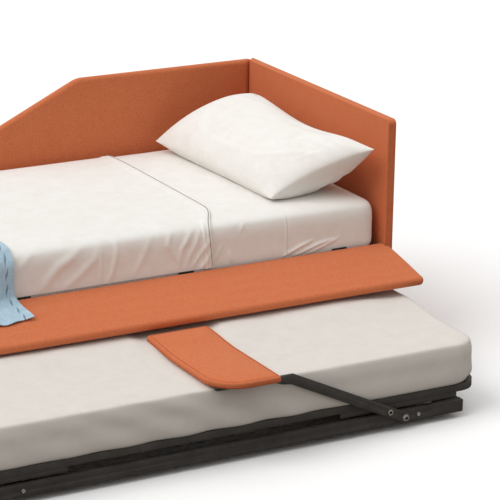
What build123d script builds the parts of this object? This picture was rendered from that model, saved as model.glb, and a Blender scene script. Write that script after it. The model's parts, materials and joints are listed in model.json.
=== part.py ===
from build123d import *
from math import atan2, cos, degrees, radians, sin
import os

# A corner bed with a second bed that rolls out from under it on wheels.
# +X runs to the head end, -Y to the side where the trundle comes out, +Z up.
# The origin is on the floor, in the middle of the open bed. All sizes are in mm.
# The model stands open: trundle out, flap down on its stop, headrest folded flat.

os.makedirs("parts", exist_ok=True)

# --- driving dimensions: the fixed bed ---------------------------------------
bed_length = 2076.0  # over the head and foot panels
bed_height = 790.0  # top of the headboard
headboard_depth = 930.0  # front edge of the end panels to the back panel's face
panel_thickness = 30.0
panel_corner_radius = 22.0
panel_edge_radius = 11.0
foot_height = 560.0  # top of the foot panel and of the back panel's low part
back_level_run = 668.0  # level top of the back panel, measured from the headboard
back_slope_angle = 25.6  # degrees below level
back_bend_radius = 90.0  # where the slope meets the level parts
glide_height = 10.0
glide_radius = 13.0
glide_inset = 60.0  # from the front edges and the back corners

mattress_width = 900.0
mattress_thickness = 160.0
mattress_end_gap = 8.0  # mattress to head and foot panels
mattress_back_gap = 10.0
mattress_side_radius = 28.0
mattress_corner_radius = 29.0

deck_top = 360.0  # top of the slat holders, where the mattress lies
deck_rail_height = 50.0
deck_rail_width = 30.0
deck_wall = 2.0
slat_thickness = 8.0
slat_width = 60.0
slat_count = 14
holder_length = 30.0
holder_wall = 2.0
deck_front_setback = 30.0  # mattress front to the front rail

flap_width = 252.0  # hinge pin to the front edge
flap_thickness = 30.0
flap_tilt = 12.5  # degrees below level on its stop
flap_end_gap = 3.0
flap_edge_radius = 13.0
flap_skin_above_pin = 4.0  # hinge pin to the flap's top face
flap_rear_gap = 6.5  # hinge pin to the flap's rear edge
hinge_width = 50.0
hinge_knuckle_radius = 5.0
hinge_pin_radius = 2.5
hinge_leaf = 2.5
hinge_reach = 68.0  # of the moving leaf under the flap
hinge_play = 0.5  # between knuckles, along the pin
hinge_drop = 9.0  # hinge pin above the deck top

# --- driving dimensions: the trundle -----------------------------------------
pull_out = 741.0  # travel from parked under the bed to fully out
park_setback = 25.0  # fixed mattress front to the parked trundle's front
trundle_head_gap = 27.0  # trundle mattress to the headboard's face line
trundle_foot_gap = 139.0
trundle_mattress_width = 800.0
trundle_mattress_thickness = 133.0
trundle_mattress_radius = 40.0
trundle_corner_radius = 80.0

wheel_radius = 25.0
wheel_width = 20.0
tyre_depth = 5.0
axle_radius = 4.0
axle_fit = 0.02  # bracket hole radius over axle radius
running_clearance = 0.05
base_rail_bottom = 22.0
base_rail_height = 38.0
base_rail_width = 25.0
base_wall = 2.0
base_end_inset = 74.0  # trundle mattress end to the base frame's end
cap_length = 18.0
cap_flange = 2.0
bolt_from_head = 163.0  # base frame's head end to the first cross rail
cross_rail_pitch = 1327.0

platform_tube = 25.0  # square section of the platform frame
platform_wall = 1.5
platform_gap = 25.0  # base rail top to the platform frame
platform_bend_radius = 58.0
bow_straight = 30.0  # of each bow beyond its bend
platform_end_inset = 3.0
post_inset = 165.0  # from the base rails' outer faces
post_half = 12.0
trundle_slat_count = 13
bracket_length = 420.0
bracket_drop = 17.0
bracket_thickness = 4.0
bracket_footward = 0.65  # share of its length on the foot side of the cross rail
bracket_inset = 2.0  # from the platform tubes' outer faces
retainer_radius = 6.0
retainer_height = 32.0  # over the slats

rail_behind_mattress = 3.0  # trundle mattress front to the base rail's face
platform_behind_rail = 10.0

# --- driving dimensions: the folding headrest --------------------------------
headrest_width = 212.0
headrest_thickness = 20.0
headrest_overhang = 58.0  # in front of the trundle mattress
headrest_from_head = 785.0  # headboard's face line to the headrest's near edge
headrest_flap_gap = 3.5  # headrest's far end to the flap's front edge
headrest_nose_radius = 105.0
arm_pivot_from_head = 316.0
arm_width = 32.0
arm_thickness = 6.0
arm_spacer = 5.0
arm_bend_from_head = 722.0
arm_end_inset = 30.0
stop_distance = 64.0  # arm pivot to the stop bolt
pivot_radius = 5.0
mattress_clearance = 1.0  # folded headrest over the trundle mattress

# --- bedding -------------------------------------------------------------------
pillow_length = 760.0
pillow_from_back = 140.0
throw_thickness = 5.0
throw_from_head = 1312.0
throw_width = 560.0
throw_on_top = 560.0  # how far it lies over the mattress top
throw_on_flap = 120.0

# --- places worked out from the sizes ------------------------------------------
bay_depth = mattress_back_gap + mattress_width - park_setback
open_depth = panel_thickness + bay_depth + pull_out
x_head = bed_length / 2 - panel_thickness  # inner face of the headboard
x_foot = -x_head
y_back = open_depth / 2 - panel_thickness  # inner face of the back panel
y_front = y_back - headboard_depth  # front edges of the end panels
y_mattress = y_back - mattress_back_gap - mattress_width  # fixed mattress front
y_hinge = y_mattress + 1.0
z_hinge = deck_top + hinge_drop
deck_rail_top = deck_top - slat_thickness - 2 * holder_wall
deck_rail_bottom = deck_rail_top - deck_rail_height
y_deck_front = y_mattress + deck_front_setback
y_deck_back = y_back

y_open = -open_depth / 2  # front of the folded headrest, the foremost point
y_trundle = y_open + headrest_overhang  # trundle mattress front
y_trundle_back = y_trundle + trundle_mattress_width
x_trundle_head = x_head - trundle_head_gap
x_trundle_foot = x_foot + trundle_foot_gap
y_rail = y_trundle + rail_behind_mattress  # front face of the base frame
y_rail_back = y_trundle_back - rail_behind_mattress
x_base_head = x_trundle_head - base_end_inset
x_base_foot = x_trundle_foot + base_end_inset
base_rail_top = base_rail_bottom + base_rail_height
base_rail_middle = base_rail_bottom + base_rail_height / 2
cross_rail_x = (x_base_head - bolt_from_head, x_base_head - bolt_from_head - cross_rail_pitch)

platform_bottom = base_rail_top + platform_gap
platform_top = platform_bottom + platform_tube
trundle_bed_z = platform_top + slat_thickness  # underside of the trundle mattress
trundle_top = trundle_bed_z + trundle_mattress_thickness
y_platform = y_rail + platform_behind_rail
y_platform_back = y_rail_back - platform_behind_rail
x_platform_head = x_trundle_head - platform_end_inset
x_platform_foot = x_trundle_foot + platform_end_inset
post_y = (y_rail + post_inset, y_rail_back - post_inset)
post_x = (x_base_head - base_rail_width / 2, x_base_foot + base_rail_width / 2)

flap_front_y = y_hinge - flap_width * cos(radians(flap_tilt)) - 2.0
headrest_bottom = trundle_top + mattress_clearance
y_headrest_back = flap_front_y - headrest_flap_gap
pivot_x = x_head - arm_pivot_from_head
arm_bend_x = x_head - arm_bend_from_head
arm_line_z = headrest_bottom - arm_width / 2
arm_end_x = x_head - headrest_from_head - headrest_width + arm_end_inset
arm_rise = atan2(arm_line_z - base_rail_middle, pivot_x - arm_bend_x)
stop_x = pivot_x - stop_distance * cos(arm_rise)
stop_z = base_rail_middle + stop_distance * sin(arm_rise)
y_arm = y_rail - arm_spacer  # back face of the arm

slat_span = 2 * (x_head - deck_rail_width - slat_width)
slat_pitch = slat_span / (slat_count - 1)
slat_x = [-slat_span / 2 + i * slat_pitch for i in range(slat_count)]
hinge_x = [(slat_x[i] + slat_x[i + 1]) / 2 for i in (0, 4, 8, 12)]  # between two slats
flap_out = (0, -cos(radians(flap_tilt)), -sin(radians(flap_tilt)))  # from the pin to the edge
flap_up = (0, -sin(radians(flap_tilt)), cos(radians(flap_tilt)))  # square to its top face
flap_plane = Plane(origin=(0, y_hinge, z_hinge), x_dir=(-1, 0, 0), z_dir=flap_up)


def flap_section(x):
    """A sketch plane across the flap at x, facing the foot: sketch X runs out, Y up."""
    return Plane(origin=(x, y_hinge, z_hinge), x_dir=flap_out, z_dir=(-1, 0, 0))


def finish(piece, name):
    """Label a finished piece and write it to its own file."""
    piece.part.label = name
    export_step(piece.part, f"parts/{name}.step")


def side_plane(x):
    """A sketch plane across the bed at x: sketch X is -Y, sketch Y is up."""
    return Plane(origin=(x, 0, 0), x_dir=(0, -1, 0), z_dir=(-1, 0, 0))


def front_plane(y):
    """A sketch plane along the bed at y, seen from the front: it faces -Y."""
    return Plane(origin=(0, y, 0), x_dir=(1, 0, 0), z_dir=(0, -1, 0))


def box_between(low, high, mode=Mode.ADD):
    """A box from one corner to the opposite one, in the open part context."""
    centre = tuple((a + b) / 2 for a, b in zip(low, high))
    size = [b - a for a, b in zip(low, high)]
    with Locations(centre):
        Box(*size, mode=mode)


def tube_between(low, high, wall, axis):
    """A square tube from corner to corner, open at both ends along axis."""
    box_between(low, high)
    inner_low = [a if i == axis else a + wall for i, a in enumerate(low)]
    inner_high = [b if i == axis else b - wall for i, b in enumerate(high)]
    box_between(inner_low, inner_high, mode=Mode.SUBTRACT)


def disc(plane, radius, depth, mode=Mode.ADD):
    """A round disc or hole from plane, along its normal for a positive depth."""
    near_end = Align.MIN if depth > 0 else Align.MAX
    with Locations(plane):
        Cylinder(radius, abs(depth), align=(Align.CENTER, Align.CENTER, near_end), mode=mode)


def facing(point, direction):
    """A plane at point whose normal is direction."""
    return Plane(origin=point, z_dir=direction)


# --- upholstered panels ----------------------------------------------------------
deck_bolt_radius = 4.0
deck_bolt_head = 8.0  # radius
deck_bolt_head_height = 5.0
bolt_play = 0.2  # hole radius over bolt radius
deck_bolt_reach = 50.0  # through the rail and most of the panel
deck_bolt_z = deck_rail_bottom + deck_rail_height / 2
end_bolt_y = [y_deck_front + f * (y_deck_back - y_deck_front) for f in (0.2, 0.4, 0.8)]
back_bolt_x = [x_foot + f * (x_head - x_foot) for f in (0.15, 0.4, 0.6, 0.85)]
# each plane lies on a rail's inner side, under a bolt head that looks into the bed
deck_bolts_at = (
    [facing((x_head - deck_rail_width, y, deck_bolt_z), (-1, 0, 0)) for y in end_bolt_y]
    + [facing((x_foot + deck_rail_width, y, deck_bolt_z), (1, 0, 0)) for y in end_bolt_y]
    + [facing((x, y_back - deck_rail_width, deck_bolt_z), (0, -1, 0)) for x in back_bolt_x]
)


def drill_deck_bolts():
    """Cut the deck bolts' holes in the piece that is open."""
    for plane in deck_bolts_at:
        disc(plane, deck_bolt_radius + bolt_play, -deck_bolt_reach - 1, mode=Mode.SUBTRACT)


def end_panel(side, height):
    """A head or foot panel, mitred to meet the back panel; side is +1 or -1."""
    inner, outer = side * x_head, side * (x_head + panel_thickness)
    with BuildPart() as panel:
        with BuildSketch(Plane.XY.offset(glide_height)):
            with BuildLine():
                Polyline(
                    (inner, y_front),
                    (outer, y_front),
                    (outer, y_back + panel_thickness),
                    (inner, y_back),
                    close=True,
                )
            make_face()
        extrude(amount=height - glide_height)
        corners = panel.edges().group_by(Axis.Z)[-1].filter_by(GeomType.LINE)
        ends = corners.sort_by(Axis.Y)
        fillet([ends[0], ends[-1]], panel_corner_radius)
        on_face = panel.edges().filter_by(
            lambda e: abs(e.center().X - inner) < 0.01 and e.center().Z > glide_height + 1
        )
        fillet(on_face, panel_edge_radius)
        drill_deck_bolts()
    return panel


headboard = end_panel(1, bed_height)
finish(headboard, "headboard")

foot_panel = end_panel(-1, foot_height)
finish(foot_panel, "foot_panel")

slope_run = (bed_height - foot_height) / sin(radians(back_slope_angle)) * cos(radians(back_slope_angle))
with BuildPart() as back_panel:
    with BuildSketch(Plane.XY.offset(glide_height)):
        with BuildLine():
            Polyline(
                (x_foot, y_back),
                (x_head, y_back),
                (x_head + panel_thickness, y_back + panel_thickness),
                (x_foot - panel_thickness, y_back + panel_thickness),
                close=True,
            )
        make_face()
    extrude(amount=bed_height - glide_height)
    with BuildSketch(front_plane(y_back + panel_thickness)):
        with BuildLine():
            Polyline(
                (x_foot - panel_thickness - 1, foot_height),
                (x_head - back_level_run - slope_run, foot_height),
                (x_head - back_level_run, bed_height),
                (x_head - back_level_run, bed_height + 1),
                (x_foot - panel_thickness - 1, bed_height + 1),
                close=True,
            )
        make_face()
    extrude(amount=panel_thickness, mode=Mode.SUBTRACT)
    across = back_panel.edges().filter_by(Axis.Y).filter_by(lambda e: e.center().Z > foot_height - 1)
    fillet(across, back_bend_radius)
    mitre_tops = back_panel.edges().filter_by(
        lambda e: abs(abs(e.tangent_at(0).X) - abs(e.tangent_at(0).Y)) < 0.01
        and e.center().Z > foot_height - 1
    )
    fillet(mitre_tops, panel_corner_radius)
    on_face = back_panel.edges().filter_by(
        lambda e: abs(e.center().Y - y_back) < 0.01 and e.center().Z > glide_height + 1
    )
    fillet(on_face, panel_edge_radius)
    drill_deck_bolts()
finish(back_panel, "back_panel")

with BuildPart() as floor_glides:
    end_mid = panel_thickness / 2
    for x in (x_head + end_mid, x_foot - end_mid):
        for y in (y_front + glide_inset, y_back - glide_inset):
            disc(facing((x, y, 0), (0, 0, 1)), glide_radius, glide_height)
    for side in (-1, 0, 1):
        x = side * (x_head - 3 * glide_inset)
        disc(facing((x, y_back + end_mid, 0), (0, 0, 1)), glide_radius, glide_height)
finish(floor_glides, "floor_glides")

# --- corner angles, low down in the two back corners -------------------------------
angle_leg = 45.0
angle_plate = 3.0
angle_bottom = 120.0
angle_height = 110.0
with BuildPart() as corner_angles:
    for side in (1, -1):
        corner = side * x_head
        low_x, high_x = sorted((corner, corner - side * angle_leg))
        box_between(
            (low_x, y_back - angle_plate, angle_bottom),
            (high_x, y_back, angle_bottom + angle_height),
        )
        low_x, high_x = sorted((corner, corner - side * angle_plate))
        box_between(
            (low_x, y_back - angle_leg, angle_bottom),
            (high_x, y_back, angle_bottom + angle_height),
        )
finish(corner_angles, "corner_angles")

# --- deck frame --------------------------------------------------------------------
with BuildPart() as deck_rail_front:
    tube_between(
        (x_foot + deck_rail_width, y_deck_front, deck_rail_bottom),
        (x_head - deck_rail_width, y_deck_front + deck_rail_width, deck_rail_top),
        deck_wall,
        axis=0,
    )
finish(deck_rail_front, "deck_rail_front")

with BuildPart() as deck_rail_back:
    tube_between(
        (x_foot + deck_rail_width, y_deck_back - deck_rail_width, deck_rail_bottom),
        (x_head - deck_rail_width, y_deck_back, deck_rail_top),
        deck_wall,
        axis=0,
    )
    drill_deck_bolts()
finish(deck_rail_back, "deck_rail_back")

for name, low_x in (("deck_rail_head", x_head - deck_rail_width), ("deck_rail_foot", x_foot)):
    with BuildPart() as end_rail:
        tube_between(
            (low_x, y_deck_front, deck_rail_bottom),
            (low_x + deck_rail_width, y_deck_back, deck_rail_top),
            deck_wall,
            axis=1,
        )
        drill_deck_bolts()
    finish(end_rail, name)

deck_middle_y = (y_deck_front + y_deck_back) / 2
beam_half_width = 20.0
beam_drop = 30.0  # below the rails' top
with BuildPart() as deck_centre_beam:
    tube_between(
        (x_foot + deck_rail_width, deck_middle_y - beam_half_width, deck_rail_top - beam_drop),
        (x_head - deck_rail_width, deck_middle_y + beam_half_width, deck_rail_top + holder_wall),
        deck_wall,
        axis=0,
    )
finish(deck_centre_beam, "deck_centre_beam")

with BuildPart() as deck_bolts:
    for plane in deck_bolts_at:
        disc(plane, deck_bolt_head, deck_bolt_head_height)
        disc(plane, deck_bolt_radius, -deck_bolt_reach)
finish(deck_bolts, "deck_bolts")

# --- slats and their end holders ------------------------------------------------------
slat_bottom = deck_rail_top + holder_wall
slat_ends = (y_deck_front + holder_wall, y_deck_back - holder_wall)

with BuildPart() as deck_slats:
    for x in slat_x:
        box_between(
            (x - slat_width / 2, slat_ends[0], slat_bottom),
            (x + slat_width / 2, slat_ends[1], slat_bottom + slat_thickness),
        )
finish(deck_slats, "deck_slats")

with BuildPart() as slat_holders:
    for x in slat_x:
        half = slat_width / 2 + holder_wall
        for low_y in (y_deck_front, y_deck_back - holder_length):
            box_between((x - half, low_y, deck_rail_top), (x + half, low_y + holder_length, deck_top))
    for x in slat_x:
        box_between(
            (x - slat_width / 2, slat_ends[0], slat_bottom),
            (x + slat_width / 2, slat_ends[1], slat_bottom + slat_thickness),
            mode=Mode.SUBTRACT,
        )
finish(slat_holders, "slat_holders")

# --- fixed mattress, pillow and throw ---------------------------------------------------
x_mattress = x_head - mattress_end_gap
with BuildPart() as upper_mattress:
    with BuildSketch(Plane.XY.offset(deck_top)):
        with Locations((0, y_mattress + mattress_width / 2)):
            RectangleRounded(2 * x_mattress, mattress_width, mattress_corner_radius)
    extrude(amount=mattress_thickness)
    fillet(upper_mattress.edges().group_by(Axis.Z)[-1], mattress_side_radius)
    fillet(upper_mattress.edges().group_by(Axis.Z)[0], mattress_side_radius)
finish(upper_mattress, "upper_mattress")

mattress_top = deck_top + mattress_thickness
pillow_middle_y = y_back - pillow_from_back - pillow_length / 2
pillow_low = mattress_top + 14.0
with BuildPart() as pillow:
    with BuildSketch(front_plane(pillow_middle_y)):
        with BuildLine():
            Spline(
                (x_head - 420, pillow_low + 12),
                (x_head - 330, pillow_low + 96),
                (x_head - 150, pillow_low + 170),
                (x_head - 30, pillow_low + 165),
                (x_head - 30, pillow_low + 145),
                (x_head - 90, pillow_low + 84),
                (x_head - 220, pillow_low + 10),
                (x_head - 330, pillow_low + 1),
                periodic=True,
            )
        make_face()
    extrude(amount=pillow_length / 2, both=True)
finish(pillow, "pillow")

throw_x = (x_head - throw_from_head - throw_width, x_head - throw_from_head)
lift = 0.4  # the throw's clearance from what it lies on
with BuildPart() as throw:
    drop_y = y_mattress - lift
    top_z = mattress_top + lift
    flap_top = flap_skin_above_pin + 4 * lift
    on_flap = flap_plane.from_local_coords((0, throw_on_flap, flap_top))
    at_rear = flap_plane.from_local_coords((0, flap_rear_gap, flap_top))
    with BuildSketch(side_plane(throw_x[1])):
        with BuildLine():
            path = FilletPolyline(
                (-drop_y - throw_on_top, top_z + throw_thickness / 2),
                (-drop_y + throw_thickness / 2, top_z + throw_thickness / 2),
                (-drop_y + throw_thickness / 2, at_rear.Z + throw_thickness / 2),
                (-on_flap.Y, on_flap.Z + throw_thickness / 2),
                radius=throw_thickness,
            )
        trace(line_width=throw_thickness)
    extrude(amount=throw_width)
finish(throw, "throw")

# --- front flap and its hinges -----------------------------------------------------------
x_flap = x_head - flap_end_gap
notch_width = hinge_width + 6.0
notch_depth = 22.0
with BuildPart() as front_flap:
    with BuildSketch(flap_section(x_flap)):
        with Locations(((flap_rear_gap + flap_width) / 2, flap_skin_above_pin - flap_thickness / 2)):
            RectangleRounded(flap_width - flap_rear_gap, flap_thickness, flap_edge_radius)
    extrude(amount=2 * x_flap)
    for x in hinge_x:
        with Locations(flap_plane):
            with Locations((-x, notch_depth / 2, -flap_thickness / 2)):
                Box(notch_width, notch_depth, flap_thickness + 20, mode=Mode.SUBTRACT)
finish(front_flap, "front_flap")

knuckle_half = hinge_width / 4 - hinge_play / 2
moving_web_low = flap_skin_above_pin - flap_thickness - hinge_leaf
with BuildPart() as flap_hinge_leaves:
    for x in hinge_x:
        with BuildSketch(flap_section(x + knuckle_half)):
            Circle(hinge_knuckle_radius)
            with Locations((hinge_knuckle_radius - hinge_leaf / 2, moving_web_low / 2)):
                Rectangle(hinge_leaf, -moving_web_low)
            with Locations((hinge_reach / 2, moving_web_low + hinge_leaf / 2)):
                Rectangle(hinge_reach - 2 * (hinge_knuckle_radius - hinge_leaf), hinge_leaf)
            Circle(hinge_pin_radius + running_clearance, mode=Mode.SUBTRACT)
        extrude(amount=2 * knuckle_half)
finish(flap_hinge_leaves, "flap_hinge_leaves")

fixed_knuckle = hinge_width / 4 - hinge_play / 2
with BuildPart() as flap_hinge_brackets:
    for x in hinge_x:
        for low_x in (x - hinge_width / 2, x + hinge_width / 4 + hinge_play / 2):
            section = Plane(origin=(low_x, y_hinge, 0), x_dir=(0, 1, 0), z_dir=(1, 0, 0))
            web_y = hinge_knuckle_radius - hinge_leaf / 2
            with BuildSketch(section):
                with Locations((0, z_hinge)):
                    Circle(hinge_knuckle_radius)
                with Locations((web_y, (z_hinge + deck_rail_top) / 2)):
                    Rectangle(hinge_leaf, z_hinge - deck_rail_top)
                with Locations((0, z_hinge)):
                    Circle(hinge_pin_radius + running_clearance, mode=Mode.SUBTRACT)
            extrude(amount=fixed_knuckle)
        box_between(
            (x - hinge_width / 2, y_hinge + hinge_knuckle_radius - hinge_leaf, deck_rail_top),
            (x + hinge_width / 2, y_deck_front + deck_rail_width, deck_rail_top + hinge_leaf),
        )
finish(flap_hinge_brackets, "flap_hinge_brackets")

with BuildPart() as flap_hinge_pins:
    for x in hinge_x:
        disc(facing((x - hinge_width / 2 - 1, y_hinge, z_hinge), (1, 0, 0)),
             hinge_pin_radius, hinge_width + 2)
finish(flap_hinge_pins, "flap_hinge_pins")

# --- trundle: base frame -------------------------------------------------------------------
base_bolt_radius = 4.0
base_bolt_head = 6.5  # radius
base_bolt_head_height = 4.5
base_bolt_socket = 2.5  # depth
cross_rail_half = 15.0
cross_rail_step = 4.0  # lower than the base rails, above and below
base_bolt_reach = base_rail_width + 15.0
rail_bolts_at = [facing((x, y_rail, base_rail_middle), (0, -1, 0)) for x in cross_rail_x]
rail_bolts_at += [facing((x, y_rail_back, base_rail_middle), (0, 1, 0)) for x in cross_rail_x]
pivot_at = facing((pivot_x, y_rail, base_rail_middle), (0, -1, 0))


def drill_base():
    """Cut the rail bolts' and the headrest pivot's holes in the open piece."""
    for plane in rail_bolts_at:
        disc(plane, base_bolt_radius + bolt_play, -base_bolt_reach - 1, mode=Mode.SUBTRACT)
    disc(pivot_at, pivot_radius + bolt_play, -base_rail_width, mode=Mode.SUBTRACT)


for name, low_y in (("base_rail_front", y_rail), ("base_rail_back", y_rail_back - base_rail_width)):
    with BuildPart() as base_rail:
        tube_between(
            (x_base_foot, low_y, base_rail_bottom),
            (x_base_head, low_y + base_rail_width, base_rail_top),
            base_wall,
            axis=0,
        )
        drill_base()
    finish(base_rail, name)

for name, low_x in (("base_end_head", x_base_head - base_rail_width), ("base_end_foot", x_base_foot)):
    with BuildPart() as base_end:
        tube_between(
            (low_x, y_rail + base_rail_width, base_rail_bottom),
            (low_x + base_rail_width, y_rail_back - base_rail_width, base_rail_top),
            base_wall,
            axis=1,
        )
    finish(base_end, name)

with BuildPart() as base_cross_rails:
    for x in cross_rail_x:
        box_between(
            (x - cross_rail_half, y_rail + base_rail_width, base_rail_bottom + cross_rail_step),
            (x + cross_rail_half, y_rail_back - base_rail_width, base_rail_top - cross_rail_step),
        )
    drill_base()
finish(base_cross_rails, "base_cross_rails")

with BuildPart() as rail_bolts:
    for plane in rail_bolts_at:
        disc(plane, base_bolt_head, base_bolt_head_height)
        disc(plane, base_bolt_radius, -base_bolt_reach)
        socket_floor = plane.offset(base_bolt_head_height - base_bolt_socket)
        disc(socket_floor, base_bolt_head / 2, base_bolt_socket, mode=Mode.SUBTRACT)
finish(rail_bolts, "rail_bolts")

with BuildPart() as rail_end_caps:
    for x, side in ((x_base_head, 1), (x_base_foot, -1)):
        for low_y in (y_rail, y_rail_back - base_rail_width):
            inner, flange = sorted((x, x + side * cap_flange)), sorted((x, x - side * cap_length))
            box_between(
                (inner[0], low_y, base_rail_bottom),
                (inner[1], low_y + base_rail_width, base_rail_top),
            )
            box_between(
                (flange[0], low_y + base_wall, base_rail_bottom + base_wall),
                (flange[1], low_y + base_rail_width - base_wall, base_rail_top - base_wall),
            )
finish(rail_end_caps, "rail_end_caps")

# --- trundle: wheels under the four corners ---------------------------------------------------
cheek = 3.0
bracket_reach = 18.0  # along the bed's depth, each way from the axle
bracket_below_axle = 9.0
bracket_step = 2.0  # top below the base rails' top
wheel_inset = 75.0  # from the base rails' outer faces
wheel_side_gap = 1.0
cheek_gap = wheel_width + 2 * wheel_side_gap
bracket_half = cheek_gap / 2 + cheek
wheel_x = (x_base_head - base_rail_width - bracket_half, x_base_foot + base_rail_width + bracket_half)
wheel_y = (y_rail + wheel_inset, y_rail_back - wheel_inset)
bracket_top = base_rail_top - bracket_step
wheel_places = [(x, y) for x in wheel_x for y in wheel_y]
wheel_names = ("head_front", "head_back", "foot_front", "foot_back")

with BuildPart() as wheel_brackets:
    for x, y in wheel_places:
        box_between(
            (x - bracket_half, y - bracket_reach, wheel_radius - bracket_below_axle),
            (x + bracket_half, y + bracket_reach, bracket_top),
        )
        box_between(
            (x - cheek_gap / 2, y - bracket_reach - 1, 0),
            (x + cheek_gap / 2, y + bracket_reach + 1, bracket_top - cheek),
            mode=Mode.SUBTRACT,
        )
        disc(facing((x - bracket_half, y, wheel_radius), (1, 0, 0)),
             axle_radius + axle_fit, 2 * bracket_half, mode=Mode.SUBTRACT)
finish(wheel_brackets, "wheel_brackets")

with BuildPart() as wheel_axles:
    for x, y in wheel_places:
        disc(facing((x - bracket_half, y, wheel_radius), (1, 0, 0)), axle_radius, 2 * bracket_half)
finish(wheel_axles, "wheel_axles")

for (x, y), name in zip(wheel_places, wheel_names):
    wheel_face = facing((x - wheel_width / 2, y, wheel_radius), (1, 0, 0))
    with BuildPart() as wheel_hub:
        disc(wheel_face, wheel_radius - tyre_depth, wheel_width)
        disc(wheel_face, axle_radius + running_clearance, wheel_width, mode=Mode.SUBTRACT)
    finish(wheel_hub, f"wheel_hub_{name}")
    with BuildPart() as wheel_tyre:
        disc(wheel_face, wheel_radius, wheel_width)
        disc(wheel_face, wheel_radius - tyre_depth, wheel_width, mode=Mode.SUBTRACT)
    finish(wheel_tyre, f"wheel_tyre_{name}")

# --- trundle: platform frame --------------------------------------------------------------------
bow_x = platform_bend_radius + platform_tube / 2 + bow_straight
tube_mid_z = platform_bottom + platform_tube / 2
for name, low_y in (
    ("platform_tube_front", y_platform),
    ("platform_tube_back", y_platform_back - platform_tube),
):
    with BuildPart() as long_tube:
        tube_between(
            (x_platform_foot + bow_x, low_y, platform_bottom),
            (x_platform_head - bow_x, low_y + platform_tube, platform_top),
            platform_wall,
            axis=0,
        )
    finish(long_tube, name)

for name, side, x_end in (
    ("platform_bow_head", 1, x_platform_head),
    ("platform_bow_foot", -1, x_platform_foot),
):
    run_x = x_end - side * platform_tube / 2
    start_x = x_end - side * bow_x
    front_y, back_y = y_platform + platform_tube / 2, y_platform_back - platform_tube / 2
    with BuildPart() as bow:
        with BuildLine():
            FilletPolyline(
                (start_x, front_y, tube_mid_z),
                (run_x, front_y, tube_mid_z),
                (run_x, back_y, tube_mid_z),
                (start_x, back_y, tube_mid_z),
                radius=platform_bend_radius,
            )
        with BuildSketch(Plane(origin=(start_x, front_y, tube_mid_z), x_dir=(0, 1, 0), z_dir=(side, 0, 0))):
            Rectangle(platform_tube, platform_tube)
            inner = platform_tube - 2 * platform_wall
            Rectangle(inner, inner, mode=Mode.SUBTRACT)
        sweep()
    finish(bow, name)

with BuildPart() as platform_cross_tubes:
    for x in (post_x[0], 0.5 * (post_x[0] + post_x[1]), post_x[1]):
        tube_between(
            (x - platform_tube / 2, y_platform + platform_tube, platform_bottom),
            (x + platform_tube / 2, y_platform_back - platform_tube, platform_top),
            platform_wall,
            axis=1,
        )
finish(platform_cross_tubes, "platform_cross_tubes")

with BuildPart() as platform_posts:
    for x in post_x:
        for y in post_y:
            box_between(
                (x - post_half, y - post_half, base_rail_top),
                (x + post_half, y + post_half, platform_bottom),
            )
finish(platform_posts, "platform_posts")

with BuildPart() as platform_side_plates:
    for x in cross_rail_x:
        for low_y in (y_platform + bracket_inset, y_platform_back - bracket_inset - bracket_thickness):
            box_between(
                (x - bracket_length * bracket_footward, low_y, platform_bottom - bracket_drop),
                (x + bracket_length * (1 - bracket_footward), low_y + bracket_thickness, platform_bottom),
            )
finish(platform_side_plates, "platform_side_plates")

trundle_slat_span = (x_platform_head - x_platform_foot) - 2 * (platform_tube + slat_width)
trundle_slat_pitch = trundle_slat_span / (trundle_slat_count - 1)
slat_middle = (x_platform_head + x_platform_foot) / 2
trundle_slat_x = [
    slat_middle - trundle_slat_span / 2 + i * trundle_slat_pitch for i in range(trundle_slat_count)
]
trundle_holder_half = slat_width / 2 + holder_wall
holder_inset = 3.0  # from the platform tubes' outer faces
trundle_slat_ends = (y_platform + 2 * holder_inset, y_platform_back - 2 * holder_inset)
slat_clip = slat_thickness - holder_wall
with BuildPart() as trundle_slats:
    for x in trundle_slat_x:
        box_between(
            (x - slat_width / 2, trundle_slat_ends[0], platform_top + holder_wall / 2),
            (x + slat_width / 2, trundle_slat_ends[1], platform_top + holder_wall / 2 + slat_clip),
        )
finish(trundle_slats, "trundle_slats")

with BuildPart() as trundle_slat_holders:
    for x in trundle_slat_x:
        for low_y in (y_platform + holder_inset, y_platform_back - holder_inset - holder_length):
            box_between(
                (x - trundle_holder_half, low_y, platform_top),
                (x + trundle_holder_half, low_y + holder_length, trundle_bed_z),
            )
    for x in trundle_slat_x:
        box_between(
            (x - slat_width / 2, trundle_slat_ends[0], platform_top + holder_wall / 2),
            (x + slat_width / 2, trundle_slat_ends[1], platform_top + holder_wall / 2 + slat_clip),
            mode=Mode.SUBTRACT,
        )
finish(trundle_slat_holders, "trundle_slat_holders")

retainer_span = 600.0
platform_middle_y = (y_platform + y_platform_back) / 2
for name, side, x_end in (
    ("mattress_retainer_head", 1, x_trundle_head),
    ("mattress_retainer_foot", -1, x_trundle_foot),
):
    hoop_x = x_end + side * (retainer_radius + 1.5)
    foot_x = x_end - side * (platform_end_inset + platform_tube / 2)
    high = trundle_bed_z + retainer_height
    with BuildPart() as retainer:
        with BuildLine():
            FilletPolyline(
                (hoop_x, platform_middle_y - retainer_span / 2, platform_bottom),
                (hoop_x, platform_middle_y - retainer_span / 2, high),
                (hoop_x, platform_middle_y + retainer_span / 2, high),
                (hoop_x, platform_middle_y + retainer_span / 2, platform_bottom),
                radius=25.0,
            )
        with BuildSketch(Plane(origin=(hoop_x, platform_middle_y - retainer_span / 2, platform_bottom),
                               z_dir=(0, 0, 1))):
            Circle(retainer_radius)
        sweep()
        for y in (platform_middle_y - retainer_span / 2, platform_middle_y + retainer_span / 2):
            lug = sorted((x_end - side * platform_end_inset, hoop_x))
            box_between((lug[0], y - 5, platform_bottom + 2), (lug[1], y + 5, platform_bottom + 16))
    finish(retainer, name)

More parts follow.
